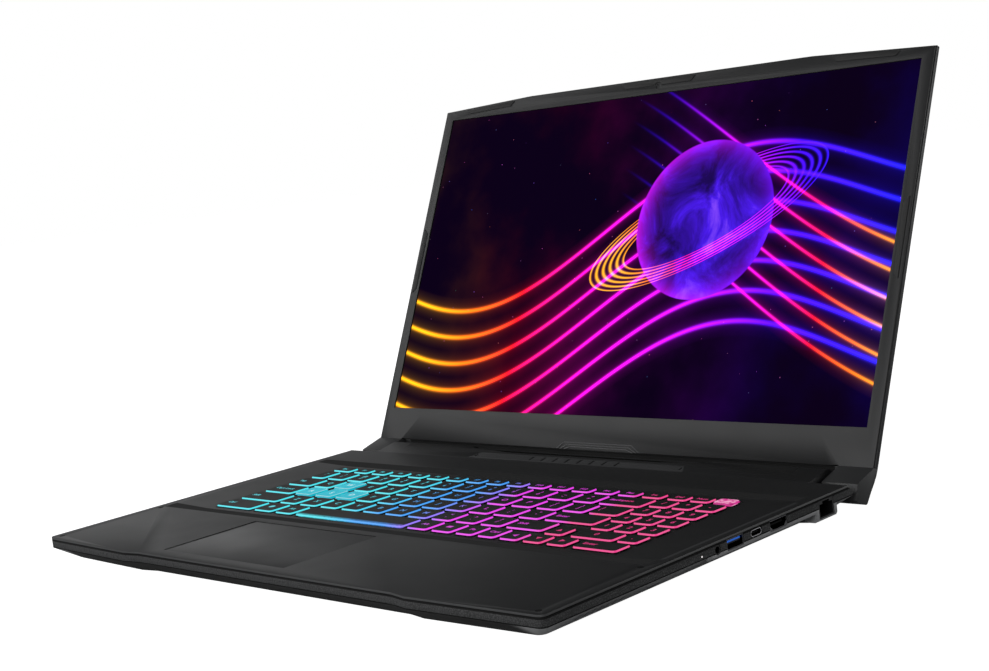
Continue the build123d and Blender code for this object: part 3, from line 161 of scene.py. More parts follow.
world = bpy.data.worlds.new("studio")
scene.world = world
world.use_nodes = True
tree = world.node_tree
tree.nodes.clear()
seen = tree.nodes.new("ShaderNodeLightPath").outputs
plain_rays = new_node(tree, "ShaderNodeMath", {
    0: seen["Is Camera Ray"], 1: seen["Is Transmission Ray"],
}, operation="MAXIMUM")
white = new_node(tree, "ShaderNodeBackground", {"Color": WHITE, "Strength": 1.0})
dim = new_node(tree, "ShaderNodeBackground", {"Color": SKY, "Strength": SKY_STRENGTH})
either = new_node(tree, "ShaderNodeMixShader", {
    0: plain_rays.outputs[0], 1: dim.outputs[0], 2: white.outputs[0],
})
new_node(tree, "ShaderNodeOutputWorld", {0: either.outputs[0]})

# %% Floor
FLOOR_HALF = 6
FLOOR_GREY = (0.6, 0.6, 0.6, 1)
pale = bpy.data.materials.new("pale_floor")
pale.use_nodes = True
tree = pale.node_tree
tree.nodes.clear()
seen = tree.nodes.new("ShaderNodeLightPath").outputs
ground = new_node(tree, "ShaderNodeBsdfDiffuse", {"Color": FLOOR_GREY})
glow = new_node(tree, "ShaderNodeEmission", {"Color": WHITE, "Strength": 1.0})
both = new_node(tree, "ShaderNodeAddShader", {0: ground.outputs[0], 1: glow.outputs[0]})
either = new_node(tree, "ShaderNodeMixShader", {
    0: seen["Is Camera Ray"], 1: ground.outputs[0], 2: both.outputs[0],
})
new_node(tree, "ShaderNodeOutputMaterial", {0: either.outputs[0]})

shape = bmesh.new()
bmesh.ops.create_grid(shape, x_segments=1, y_segments=1, size=FLOOR_HALF)
floor = new_piece("floor", shape, [pale])

# %% [markdown]
# Dark plastic shows its form by what it reflects. Soft lamps at the left put a sheen on the deck that
# fades to the right. A wide one in front and a low one at the right light the sides that face the camera.


# %% Lamps
def soft_lamp(name, place, aim, width, height, power):
    """A rectangular studio lamp that faces a point."""
    lamp = bpy.data.lights.new(name, "AREA")
    lamp.shape = "RECTANGLE"
    lamp.size = width
    lamp.size_y = height
    lamp.energy = power
    holder = bpy.data.objects.new(name, lamp)
    holder.location = place
    holder.rotation_euler = (Vector(aim) - Vector(place)).to_track_quat("-Z", "Y").to_euler()
    scene.collection.objects.link(holder)


# Each lamp: its place, what it faces, its width and height, and its power in watts.
soft_lamp("lamp_left", (-1.9, 0.5, 0.7), (-0.15, -0.05, 0.0), 1.2, 0.9, 2.9)
soft_lamp("lamp_back", (-1.56, 1.27, 0.9), (-0.02, -0.15, 0.0), 0.35, 0.45, 0.5)
soft_lamp("lamp_front_left", (-1.65, -0.77, 1.05), (0.0, 0.0, 0.08), 1.2, 0.8, 4.8)
soft_lamp("lamp_low_left", (-1.4, -1.4, 0.72), (0.0, 0.0, 0.08), 1.2, 0.8, 6.5)
soft_lamp("lamp_front", (0.3, -2.2, 1.0), (0.0, 0.1, 0.1), 2.0, 1.2, 26)
soft_lamp("lamp_right", (1.5, 1.2, 0.25), (0.2, -0.02, 0.01), 0.9, 0.5, 5)
soft_lamp("lamp_above", (0.0, -0.3, 2.2), (0.0, 0.0, 0.0), 1.5, 1.5, 1.2)

# %% [markdown]
# ## Finishes
# Effects that several finishes share are node groups with named inputs. Each puts out a mask or a
# height, and the material decides what it does.


# %% Small helpers for node trees
def new_group(name, inputs, outputs):
    """An empty node group with its sockets, and its two end nodes."""
    group = bpy.data.node_groups.new(name, "ShaderNodeTree")
    for label, kind, value in inputs:
        socket = group.interface.new_socket(label, in_out="INPUT", socket_type=kind)
        if value is not None:
            socket.default_value = value
    for label, kind in outputs:
        group.interface.new_socket(label, in_out="OUTPUT", socket_type=kind)
    return group, group.nodes.new("NodeGroupInput").outputs, group.nodes.new("NodeGroupOutput").inputs


def new_finish(name):
    """An empty finish, its node tree and its shader."""
    made = bpy.data.materials.new(name)
    made.use_nodes = True
    return made, made.node_tree, made.node_tree.nodes["Principled BSDF"]


def maths(tree, operation, first, second=None, third=None):
    """A Math node's result. Each operand is a number or another node's output."""
    operands = {i: value for i, value in enumerate((first, second, third)) if value is not None}
    return new_node(tree, "ShaderNodeMath", operands, operation=operation).outputs[0]


def product(tree, *factors):
    """Several numbers multiplied."""
    result = factors[0]
    for factor in factors[1:]:
        result = maths(tree, "MULTIPLY", result, factor)
    return result


def largest(tree, *values):
    """The largest of several numbers."""
    result = values[0]
    for value in values[1:]:
        result = maths(tree, "MAXIMUM", result, value)
    return result


def span_of(tree, first, second):
    """The length of a flat vector."""
    squares = [maths(tree, "POWER", side, 2.0) for side in (first, second)]
    return maths(tree, "SQRT", maths(tree, "ADD", *squares))


def smooth_step(tree, value, start, end, top=1.0):
    """0 before a start and a top value past an end, with a smooth change between them."""
    limits = {"Value": value, "From Min": start, "From Max": end, "To Max": top}
    return new_node(tree, "ShaderNodeMapRange", limits, interpolation_type="SMOOTHSTEP").outputs[0]


def between(tree, value, low, high, edge):
    """1 where a value lies between two limits, with soft edges."""
    up = smooth_step(tree, value, low - edge, low + edge)
    down = smooth_step(tree, value, high + edge, high - edge)
    return maths(tree, "MULTIPLY", up, down)


def scaled(tree, color, factor):
    """A colour times a number."""
    return new_node(tree, "ShaderNodeVectorMath", {0: color, "Scale": factor}, operation="SCALE").outputs[0]


def summed(tree, first, second):
    """Two colours of light together."""
    return new_node(tree, "ShaderNodeVectorMath", {0: first, 1: second}, operation="ADD").outputs[0]


def mixed(tree, share, low, high):
    """One colour where a share is 0 and another where it is 1."""
    return new_node(tree, "ShaderNodeMix", {0: share, 6: low, 7: high}, data_type="RGBA").outputs[2]


def color_run(tree, share, stops):
    """A colour that changes with a number, from a list of places and colours."""
    ramp = new_node(tree, "ShaderNodeValToRGB", {0: share})
    while len(ramp.color_ramp.elements) < len(stops):
        ramp.color_ramp.elements.new(0.5)
    for stop, (place, color) in zip(ramp.color_ramp.elements, stops):
        stop.position = place
        stop.color = (*color, 1)
    return ramp.outputs[0]


def noise(tree, place, **inputs):
    """Cloudy noise."""
    return new_node(tree, "ShaderNodeTexNoise", {"Vector": place, **inputs}).outputs[0]


def object_place(tree, turn=0.0, centre=(0, 0, 0)):
    """Object coordinates, turned about X and counted from a centre."""
    place = tree.nodes.new("ShaderNodeTexCoord").outputs["Object"]
    moved = {"Vector": place, "Location": centre, "Rotation": (turn, 0, 0)}
    return new_node(tree, "ShaderNodeMapping", moved, vector_type="TEXTURE").outputs[0]


def axes_of(tree, vector):
    """A vector's three numbers."""
    return new_node(tree, "ShaderNodeSeparateXYZ", {0: vector}).outputs


def source(shader, slot):
    """What feeds one of a shader's inputs."""
    return shader.inputs[slot].links[0].from_socket


def repaint(made, change):
    """Multiplies a finish's colour by a number at each place."""
    tree = made.node_tree
    shader = tree.nodes["Principled BSDF"]
    tree.links.new(scaled(tree, source(shader, "Base Color"), change), shader.inputs["Base Color"])


def roughen(made, mask, extra):
    """Makes a finish rougher where a mask is 1."""
    tree = made.node_tree
    shader = tree.nodes["Principled BSDF"]
    rougher = maths(tree, "MULTIPLY_ADD", mask, extra, source(shader, "Roughness"))
    tree.links.new(rougher, shader.inputs["Roughness"])


def masked(made, mask, outside, inside, slot="Base Color"):
    """Gives a finish one colour where a mask is 0 and another where it is 1."""
    tree = made.node_tree
    tree.links.new(mixed(tree, mask, outside, inside), tree.nodes["Principled BSDF"].inputs[slot])


# %% [markdown]
# Moulded plastic has a spark-eroded grain: a fine, even pebble that scatters light. Over it lies a
# slower unevenness where hands and cloths have passed.

# %% Grain group
FLOAT = "NodeSocketFloat"
VECTOR = "NodeSocketVector"
PEBBLE = 0.4 * MM
PATCH = 30 * MM
DUST_SHARE = 0.6
grain, given, result = new_group(
    "moulded_grain",
    [("Place", VECTOR, None), ("Pebble", FLOAT, PEBBLE), ("Patch", FLOAT, PATCH)],
    [("Height", FLOAT), ("Patches", FLOAT)],
)
pebble_scale = maths(grain, "DIVIDE", 1.0, given["Pebble"])
patch_scale = maths(grain, "DIVIDE", 1.0, given["Patch"])
pebbles = new_node(grain, "ShaderNodeTexVoronoi", {
    "Vector": given["Place"], "Scale": pebble_scale,
}, feature="SMOOTH_F1")
dust = noise(grain, given["Place"], Scale=pebble_scale, Detail=3)
height = maths(grain, "ADD", pebbles.outputs["Distance"], maths(grain, "MULTIPLY", dust, DUST_SHARE))
grain.links.new(height, result["Height"])
grain.links.new(noise(grain, given["Place"], Scale=patch_scale, Detail=4), result["Patches"])

# %% [markdown]
# The band round the base's side has a finer relief, like coarse hide: small cells with dark seams.

# %% Hide group
SEAM_WIDE = 0.22
hide, given, result = new_group(
    "hide_relief",
    [("Place", VECTOR, None), ("Cell", FLOAT, 1.1 * MM)],
    [("Height", FLOAT), ("Seams", FLOAT)],
)
cell_scale = maths(hide, "DIVIDE", 1.0, given["Cell"])
cells = new_node(hide, "ShaderNodeTexVoronoi", {
    "Vector": given["Place"], "Scale": cell_scale,
}, feature="DISTANCE_TO_EDGE")
crown = smooth_step(hide, cells.outputs["Distance"], 0.0, SEAM_WIDE)
hide.links.new(crown, result["Height"])
hide.links.new(maths(hide, "SUBTRACT", 1.0, crown), result["Seams"])

# %% Plain finishes
TONE_SWING = 0.14  # how far a finish's colour and roughness change from patch to patch
ROUGH_SWING = 0.06
GRAIN_DEPTH = 0.1 * MM


def surface(name, color, roughness, metallic=0.0, grain_size=PEBBLE, bump=0.15):
    """A finish with grain in its bump, and slow changes in its colour and roughness."""
    made, tree, shader = new_finish(name)
    shader.inputs["Metallic"].default_value = metallic
    texture = new_node(tree, "ShaderNodeGroup", {
        "Place": object_place(tree), "Pebble": grain_size, "Patch": PATCH,
    }, node_tree=grain)
    patches = texture.outputs["Patches"]
    dark = (*[(1 - TONE_SWING) * part for part in color], 1)
    pale = (*[(1 + TONE_SWING) * part for part in color], 1)
    tree.links.new(mixed(tree, patches, dark, pale), shader.inputs["Base Color"])
    rough = new_node(tree, "ShaderNodeMapRange", {
        "Value": patches, "To Min": roughness - ROUGH_SWING, "To Max": roughness + ROUGH_SWING,
    })
    tree.links.new(rough.outputs[0], shader.inputs["Roughness"])
    relief = new_node(tree, "ShaderNodeBump", {
        "Strength": bump, "Distance": GRAIN_DEPTH, "Height": texture.outputs["Height"],
    })
    tree.links.new(relief.outputs[0], shader.inputs["Normal"])
    return made


# %% [markdown]
# The base's side has the plate's edge, a groove below it, a band with hide relief and a second groove.
# Light and shade are painted on by place: painted shade in the grooves, on the recess's slopes, on the front
# bevel and on the rear ramp by the lid's foot; a painted highlight on the plate's edge and a painted
# reflection of the floor on the side bevel.

# %% Finish of the base
GROOVE_HIGH = DECK - 1.08 * MM
GROOVE_LOW = DECK - 2.3 * MM
BAND_LOW = DECK - 5.68 * MM
SECOND_LOW = DECK - 6.25 * MM
LIP_HIGH = DECK - 0.12 * MM
SIDE_IN = 192.5 * MM  # the band and the grooves lie outside this, left and right
FRONT_IN = -158.0 * MM  # and in front of this
LINE_EDGE = 0.04 * MM  # softness of a painted line
SLOPE_EDGE = 0.1 * MM
RIB_EDGE = 0.5 * MM
RIBS = (0.0 * MM, 20.5 * MM)  # the band's ribbed stretch behind the display outlet, front to back
RIB_PITCH = 1.25 * MM
CORNER = (SIDE_IN - 15.5 * MM, SIDE_IN - 4.5 * MM)  # the front bevel turns into the side bevel
CREST = (62.0 * MM, 69.0 * MM)  # painted shade darkens the rear ramp towards the lid's foot
CREST_HALF = 157.0 * MM
SLOPE_FRONT = (-108.0 * MM, -98.4 * MM)  # the recess's front and rear slopes, front to back
SLOPE_REAR = (16.2 * MM, 24.2 * MM)
HIDE_CELL = 1.2 * MM
HIDE_BUMP = 0.8
HIDE_DEPTH = 0.25 * MM
BAND_DULL = 0.3
DULL_ROUGH = 0.45
# The colour of each region is multiplied by 1 plus this. The grooves, the recess's slopes, the front bevel
# and the ramp by the lid's foot get painted shade; the plate's edge gets a painted highlight and the side
# bevel a painted reflection of the floor.
SHELL_PAINT = {
    "groove_shade": -0.98, "lip_highlight": 2.6, "seams": -0.65, "slope": -0.5, "band": 2.2, "crest": -0.9, "ribs": -1.5,
    "flank_reflection": 12.0, "chest_shade": -0.75,
}


def shell_regions(tree, place, seams):
    """Masks of the regions that SHELL_PAINT names."""
    axes = axes_of(tree, place)
    aside = maths(tree, "ABSOLUTE", axes["X"])
    past_side = maths(tree, "GREATER_THAN", aside, SIDE_IN)
    outer = largest(tree, past_side, maths(tree, "LESS_THAN", axes["Y"], FRONT_IN))
    inner = maths(tree, "SUBTRACT", 1.0, outer)
    groove_shade = largest(tree, between(tree, axes["Z"], GROOVE_LOW, GROOVE_HIGH, LINE_EDGE),
                      between(tree, axes["Z"], SECOND_LOW, BAND_LOW, LINE_EDGE))
    band = product(tree, between(tree, axes["Z"], BAND_LOW, GROOVE_LOW, LINE_EDGE), outer)
    slopes = [between(tree, axes["Y"], *span, SLOPE_EDGE) for span in (SLOPE_FRONT, SLOPE_REAR)]
    crest = smooth_step(tree, axes["Y"], *CREST)
    ribs = maths(tree, "PINGPONG", maths(tree, "DIVIDE", axes["Y"], RIB_PITCH), 0.5)
    low = maths(tree, "LESS_THAN", axes["Z"], SECOND_LOW)
    side = smooth_step(tree, aside, *CORNER)
    return {
        # painted shade in the grooves, on the recess's slopes and on the ramp by the lid's foot
        "groove_shade": product(tree, groove_shade, outer),
        # painted highlight on the plate's edge
        "lip_highlight": product(tree, between(tree, axes["Z"], GROOVE_HIGH, LIP_HIGH, LINE_EDGE), outer),
        "seams": product(tree, seams, band),
        "slope": product(tree, largest(tree, *slopes), inner),
        "band": band,
        "crest": product(tree, crest, maths(tree, "LESS_THAN", aside, CREST_HALF)),
        "ribs": product(tree, ribs, band, between(tree, axes["Y"], *RIBS, RIB_EDGE)),
        # painted reflection of the floor on the side bevel, and painted shade on the front bevel
        "flank_reflection": product(tree, low, side),
        "chest_shade": product(tree, low, maths(tree, "SUBTRACT", 1.0, side)),
    }


def shell_surface(name, color, roughness):
    """The base's plastic: grain on the flats, hide relief on the side band, and painted light and shade by
    place.
    """
    made = surface(name, color, roughness)
    tree = made.node_tree
    shader = tree.nodes["Principled BSDF"]
    place = object_place(tree)
    relief = new_node(tree, "ShaderNodeGroup", {"Place": place, "Cell": HIDE_CELL}, node_tree=hide)
    regions = shell_regions(tree, place, relief.outputs["Seams"])
    shades = [maths(tree, "MULTIPLY_ADD", regions[name], paint, 1.0) for name, paint in SHELL_PAINT.items()]
    # Painted shade and painted highlights go into the colour here.
    repaint(made, product(tree, *shades))
    dull = largest(tree, regions["groove_shade"], regions["slope"], product(tree, regions["band"], BAND_DULL),
                   regions["chest_shade"], regions["crest"])
    roughen(made, dull, DULL_ROUGH)
    pebble = new_node(tree, "ShaderNodeBump", {
        "Strength": HIDE_BUMP, "Distance": HIDE_DEPTH, "Normal": source(shader, "Normal"),
        "Height": product(tree, relief.outputs["Height"], regions["band"]),
    })
    tree.links.new(pebble.outputs[0], shader.inputs["Normal"])
    return made


deck_plastic = shell_surface("deck_plastic", (0.016, 0.0163, 0.0168), 0.5)
shell_plastic = shell_surface("shell_plastic", (0.0202, 0.0204, 0.0208), 0.42)

# %% Other plain finishes
strip_plastic = surface("strip_plastic", (0.052, 0.0525, 0.054), 0.55, grain_size=1.2 * MM, bump=1.0)
key_black = surface("key_black", (0.007, 0.007, 0.0075), 0.62)
pad_film = surface("pad_film", (0.011, 0.0113, 0.012), 0.42)
bezel_plastic = surface("bezel_plastic", (0.014, 0.0142, 0.0148), 0.5)
lid_plastic = surface("lid_plastic", (0.017, 0.0175, 0.0185), 0.42)
cover_plastic = surface("cover_plastic", (0.034, 0.0343, 0.035), 0.5)
rubber = surface("rubber", (0.008, 0.008, 0.008), 0.75)
bumper = surface("bumper", (0.008, 0.008, 0.008), 0.6)
soft_rubber = surface("soft_rubber", (0.003, 0.003, 0.003), 0.8)
soft_rubber.node_tree.nodes["Principled BSDF"].inputs["Specular IOR Level"].default_value = 0.2
steel = surface("steel", (0.5, 0.5, 0.52), 0.3, metallic=1.0)
copper = surface("copper", (0.7, 0.32, 0.18), 0.3, metallic=1.0)
dark_steel = surface("dark_steel", (0.05, 0.05, 0.055), 0.4, metallic=1.0)
board = surface("board", (0.01, 0.035, 0.02), 0.5)
black_plastic = surface("black_plastic", (0.004, 0.004, 0.0045), 0.5)
cloth = surface("cloth", (0.0015, 0.0015, 0.0015), 0.9)
socket_metal = surface("socket_metal", (0.5, 0.5, 0.52), 0.35, metallic=1.0)
tongue_blue = surface("tongue_blue", (0.02, 0.16, 0.8), 0.3)
lamp_dot = surface("lamp_dot", (0.003, 0.003, 0.003), 0.5)

# %% [markdown]
# The strip above the keyboard has a row of slots. Painted shade darkens them, a little past their own edges.

# %% Slots of the vent strip
STRIP_LOW, STRIP_HIGH = [Vector(corner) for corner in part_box("vent_strip")]
SLOT_PITCH = 9.95 * MM
SLOT_SHIFT = 20.5  # pitches from the middle to a place left of the first slot
SLOT_HALF_WIDE = 0.95 * MM
SLOT_HALF_LONG = 2.7 * MM
ROW_HALF = 3.9 * SLOT_PITCH
SLOT_SHADE = -0.97
tree = strip_plastic.node_tree
axes = axes_of(tree, object_place(tree))
from_slot = maths(tree, "PINGPONG", maths(tree, "ADD", axes["X"], SLOT_SHIFT * SLOT_PITCH), SLOT_PITCH / 2)
strip_middle = (STRIP_LOW.y + STRIP_HIGH.y) / 2
along_slot = maths(tree, "ABSOLUTE", maths(tree, "SUBTRACT", axes["Y"], strip_middle))
slot_shade = product(
    tree,
    maths(tree, "LESS_THAN", from_slot, SLOT_HALF_WIDE),
    maths(tree, "LESS_THAN", along_slot, SLOT_HALF_LONG),
    maths(tree, "LESS_THAN", maths(tree, "ABSOLUTE", axes["X"]), ROW_HALF),
)
# Painted shade in and round the slots.
repaint(strip_plastic, maths(tree, "MULTIPLY_ADD", slot_shade, SLOT_SHADE, 1.0))

# %% Rims of the sockets
# A socket's rim is bare metal, and painted shade darkens the shell a little way in. The smallest rim gets a
# painted highlight, so it is the brightest.
RIM_DEEP = 0.35 * MM
RIM_EDGE = 0.1 * MM
SOCKET_SHADE = (0.006, 0.006, 0.0065, 1)
RIM_METAL = (0.16, 0.16, 0.17, 1)
RIM_HIGHLIGHT = (0.66, 0.66, 0.69, 1)
tree = socket_metal.node_tree
axes = axes_of(tree, object_place(tree))
rim_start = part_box("hdmi_socket")[1][0] - RIM_DEEP
at_rim = maths(tree, "GREATER_THAN", maths(tree, "ABSOLUTE", axes["X"]), rim_start)
small_socket = [corner[1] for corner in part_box("usb_c_socket")]
at_small_rim = product(tree, at_rim, between(tree, axes["Y"], *small_socket, RIM_EDGE))
# Painted shade inside the sockets, and a painted highlight on the smallest rim.
masked(socket_metal, at_small_rim, mixed(tree, at_rim, SOCKET_SHADE, RIM_METAL), RIM_HIGHLIGHT)

# %% Contact plates
# The contact plates of the full-size sockets are blue along their upper half and dark below, and the blue
# has a painted glow.
TONGUE_LOW, TONGUE_HIGH = [corner[2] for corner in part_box("usb_tongues")]
BLUE_FOOT = 0.75 * MM
BLUE_TOP = 0.25 * MM
BLUE_EDGE = 0.05 * MM
BLUE_PAINTED_LIGHT = 0.35
tree = tongue_blue.node_tree
axes = axes_of(tree, object_place(tree))
blue_part = between(tree, axes["Z"], TONGUE_LOW + BLUE_FOOT, TONGUE_HIGH - BLUE_TOP, BLUE_EDGE)
masked(tongue_blue, blue_part, (0.002, 0.003, 0.012, 1), (0.03, 0.25, 1.0, 1))
# Painted light: the blue part glows a little.
masked(tongue_blue, blue_part, (0, 0, 0, 1), (0.012, 0.08, 0.5, 1), "Emission Color")
tree.nodes["Principled BSDF"].inputs["Emission Strength"].default_value = BLUE_PAINTED_LIGHT

# %% Status light
# The status light is a bright point in a dark ring.
LIGHT_LOW, LIGHT_HIGH = [Vector(corner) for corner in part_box("status_light")]
POINT_DROP = 0.75 * MM
POINT_RADIUS = 0.45 * MM
tree = lamp_dot.node_tree
axes = axes_of(tree, object_place(tree))
away = span_of(tree, maths(tree, "SUBTRACT", axes["Y"], (LIGHT_LOW.y + LIGHT_HIGH.y) / 2),
               maths(tree, "SUBTRACT", axes["Z"], LIGHT_HIGH.z - POINT_DROP))
at_point = maths(tree, "LESS_THAN", away, POINT_RADIUS)
masked(lamp_dot, at_point, (0, 0, 0, 1), (1.0, 0.95, 0.95, 1), "Emission Color")
tree.nodes["Principled BSDF"].inputs["Emission Strength"].default_value = 1.0

# %% Which finish each CAD piece has
FINISH = {
    "deck_plastic": deck_plastic, "shell_plastic": shell_plastic, "screw_steel": dark_steel,
    "foot_rubber": rubber, "strip_plastic": strip_plastic, "plug_rubber": soft_rubber, "dome_rubber": rubber,
    "plate_metal": dark_steel, "touchpad_film": pad_film, "frame_plastic": black_plastic,
    "key_plastic": key_black, "socket_steel": socket_metal, "tongue_plastic": tongue_blue,
    "socket_plastic": black_plastic, "light_lens": lamp_dot, "board_laminate": board,
    "chip_silicon": black_plastic, "copper": copper, "fin_aluminium": steel, "fan_plastic": black_plastic,
    "battery_case": black_plastic, "speaker_plastic": black_plastic, "hinge_steel": dark_steel,
    "cover_plastic": cover_plastic, "lid_plastic": lid_plastic, "bezel_plastic": bezel_plastic,
    "bumper_rubber": bumper, "screen_glass": black_plastic, "camera_plastic": black_plastic,
}
MATERIAL_SLOT = {part["node"]: part["material_slot"] for part in frame["record"]["subparts"]}
for node, slot in MATERIAL_SLOT.items():
    mesh = nodes[node].data
    mesh.materials.clear()
    mesh.materials.append(FINISH[slot])

# %% [markdown]
# The chin's shallow notch steps in three times, and the edge of each step has a painted highlight.

# %% Notch edges
NOTCH_FOOT = 10.2 * MM
# Half the width at the foot, half the width at the top, and the height of each step.
NOTCH_STEPS = [
    (34.0 * MM, 27.5 * MM, 14.5 * MM), (31.0 * MM, 25.0 * MM, 13.2 * MM), (28.0 * MM, 22.5 * MM, 12.0 * MM),
]
SHINE_HALF = 0.12 * MM
SHINE_EDGE = 0.06 * MM
NOTCH_HIGHLIGHT = (0.16, 0.16, 0.165, 1)
tree = bezel_plastic.node_tree
axes = axes_of(tree, object_place(tree, turn=-LEAN, centre=hinge_point))
beside = maths(tree, "ABSOLUTE", axes["X"])
edges = []
for foot_half, top_half, top in NOTCH_STEPS:
    draw = (foot_half - top_half) / (top - NOTCH_FOOT)
    over = maths(tree, "SUBTRACT", axes["Z"], top)
    reach = maths(tree, "MULTIPLY_ADD", axes["Z"], draw, -(foot_half + draw * NOTCH_FOOT))
    past = maths(tree, "MULTIPLY", maths(tree, "ADD", beside, reach), 1 / hypot(1, draw))
    edges.append(between(tree, largest(tree, over, past), -SHINE_HALF, SHINE_HALF, SHINE_EDGE))
edge = product(tree, largest(tree, *edges), maths(tree, "GREATER_THAN", axes["Z"], NOTCH_FOOT))
plain_bezel = source(tree.nodes["Principled BSDF"], "Base Color")
# Painted highlight along the edges of the steps.
masked(bezel_plastic, edge, plain_bezel, NOTCH_HIGHLIGHT)

# %% Painted shade at the foot of the lid
FOOT_HALF = 172 * MM
FOOT_THICK = 11.0 * MM
FOOT_SHADE = -0.99
FOOT_ROUGH = 0.5


def paint_foot_shade(made, height):
    """Paints shade on a lid finish near the hinge axis, where the lid sinks between the two hinge covers."""
    tree = made.node_tree
    axes = axes_of(tree, object_place(tree, turn=-LEAN, centre=hinge_point))
    under = product(
        tree,
        maths(tree, "LESS_THAN", axes["Z"], height),
        maths(tree, "LESS_THAN", axes["Y"], FOOT_THICK),
        maths(tree, "LESS_THAN", maths(tree, "ABSOLUTE", axes["X"]), FOOT_HALF),
    )
    repaint(made, maths(tree, "MULTIPLY_ADD", under, FOOT_SHADE, 1.0))
    roughen(made, under, FOOT_ROUGH)


# Painted shade at the foot of the bezel and of the lid.
paint_foot_shade(bezel_plastic, 9.9 * MM)
paint_foot_shade(lid_plastic, 10.6 * MM)

# %% [markdown]
# ## Moulded edges
# The CAD solids have knife edges, and no moulded or pressed part does. A copy of each visible shell
# gets a small round along its sharp edges, which catches the light as a thin line. The copy then
# stands for the CAD node, and rides on the same body.

# %% Rounded copies
WELD = 0.002 * MM
FLAT_ANGLE = radians(0.5)
SHARP_ANGLE = radians(28)
EDGE_RADIUS = {
    "palmrest_cover": 0.22 * MM, "bottom_cover": 0.22 * MM, "vent_strip": 0.1 * MM, "lid_cover": 0.3 * MM,
    "screen_bezel": 0.12 * MM, "bezel_bumpers": 0.12 * MM, "hinge_cover_left": 0.3 * MM,
    "hinge_cover_right": 0.3 * MM, "rubber_feet": 0.3 * MM, "touchpad": 0.1 * MM,
}


def rounded(node, radius):
    """A copy of a CAD node with its triangles joined and its sharp edges rounded."""
    shape = bmesh.new()
    shape.from_mesh(nodes[node].data)
    bmesh.ops.remove_doubles(shape, verts=shape.verts, dist=WELD)
    bmesh.ops.dissolve_limit(shape, angle_limit=FLAT_ANGLE, verts=shape.verts, edges=shape.edges)
    for face in shape.faces:
        face.smooth = True
    piece = new_piece(node + "_shell", shape, [nodes[node].data.materials[0]])
    bevel = piece.modifiers.new("edge_round", "BEVEL")
    bevel.width = radius
    bevel.segments = 2
    bevel.limit_method = "ANGLE"
    bevel.angle_limit = SHARP_ANGLE
    bevel.harden_normals = True
    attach(piece, nodes[node]["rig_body"])
    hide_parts(node)
    return piece


for node, radius in EDGE_RADIUS.items():
    rounded(node, radius)

# %% [markdown]
# Black cloth lies behind the slots of the strip above the keyboard.

# %% Cloth behind the slots
STRIP_THICK = 0.8 * MM
CLOTH_IN = 1.2 * MM  # how far the cloth stays inside the strip's front and rear edges
CLOTH_FRONT_IN = 4 * MM  # and inside its ends
CLOTH_REAR_IN = 7 * MM
CLOTH_UP = 0.72 * MM
rise = (STRIP_HIGH.z - STRIP_LOW.z - STRIP_THICK) / (STRIP_HIGH.y - STRIP_LOW.y)
shape = bmesh.new()
for x, y in ((STRIP_LOW.x + CLOTH_FRONT_IN, STRIP_LOW.y + CLOTH_IN),
             (STRIP_HIGH.x - CLOTH_FRONT_IN, STRIP_LOW.y + CLOTH_IN),
             (STRIP_HIGH.x - CLOTH_REAR_IN, STRIP_HIGH.y - CLOTH_IN),
             (STRIP_LOW.x + CLOTH_REAR_IN, STRIP_HIGH.y - CLOTH_IN)):
    shape.verts.new((x, y, STRIP_LOW.z + rise * (y - STRIP_LOW.y) + CLOTH_UP))
shape.faces.new(shape.verts)
vent_cloth = new_piece("vent_cloth", shape, [cloth])
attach(vent_cloth, nodes["vent_strip"]["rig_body"])

# %% [markdown]
# ## Keyboard
# Each key has a translucent cap painted black on top. Its skirt stays clear, so the light beneath
# comes out all round it. The light's colour changes across the keyboard in five blended zones.

# %% Zone light
ZONE_LEFT = -0.165
ZONE_WIDE = 0.335
ZONES = [
    (-0.060, (0.085, 0.78, 0.87)), (-0.040, (0.08, 0.58, 0.93)), (-0.029, (0.07, 0.4, 0.97)),
    (-0.004, (0.07, 0.35, 0.95)), (0.008, (0.26, 0.22, 0.97)), (0.016, (0.42, 0.15, 0.97)),
    (0.026, (0.86, 0.06, 0.9)), (0.092, (0.86, 0.06, 0.82)), (0.102, (0.86, 0.05, 0.26)),
]


def zone_color(tree):
    """The keyboard light's colour at a place, by how far right it is."""
    x = axes_of(tree, object_place(tree))["X"]
    share = maths(tree, "DIVIDE", maths(tree, "SUBTRACT", x, ZONE_LEFT), ZONE_WIDE)
    return color_run(tree, share, [((place - ZONE_LEFT) / ZONE_WIDE, color) for place, color in ZONES])


LIT_BASE = (0.01, 0.01, 0.01, 1)
LIT_ROUGH = 0.4


def lit(name, strength, toward_white=0.0):
    """A finish that shines in the colour of its zone."""
    made, tree, shader = new_finish(name)
    shader.inputs["Base Color"].default_value = LIT_BASE
    shader.inputs["Roughness"].default_value = LIT_ROUGH
    shader.inputs["Emission Strength"].default_value = strength
    tree.links.new(mixed(tree, toward_white, zone_color(tree), WHITE), shader.inputs["Emission Color"])
    return made


def mottled(name, dark, pale, scale, low, high):
    """A lit top whose paint lets the light through unevenly."""
    made, tree, shader = new_finish(name)
    shader.inputs["Base Color"].default_value = (0.02, 0.02, 0.02, 1)
    shader.inputs["Emission Strength"].default_value = 1.0
    cloud = noise(tree, object_place(tree), Scale=scale, Detail=6)
    share = new_node(tree, "ShaderNodeMapRange", {"Value": cloud, "From Min": low, "From Max": high})
    light = mixed(tree, share.outputs[0], (*dark, 1), (*pale, 1))
    tree.links.new(light, shader.inputs["Emission Color"])
    return made


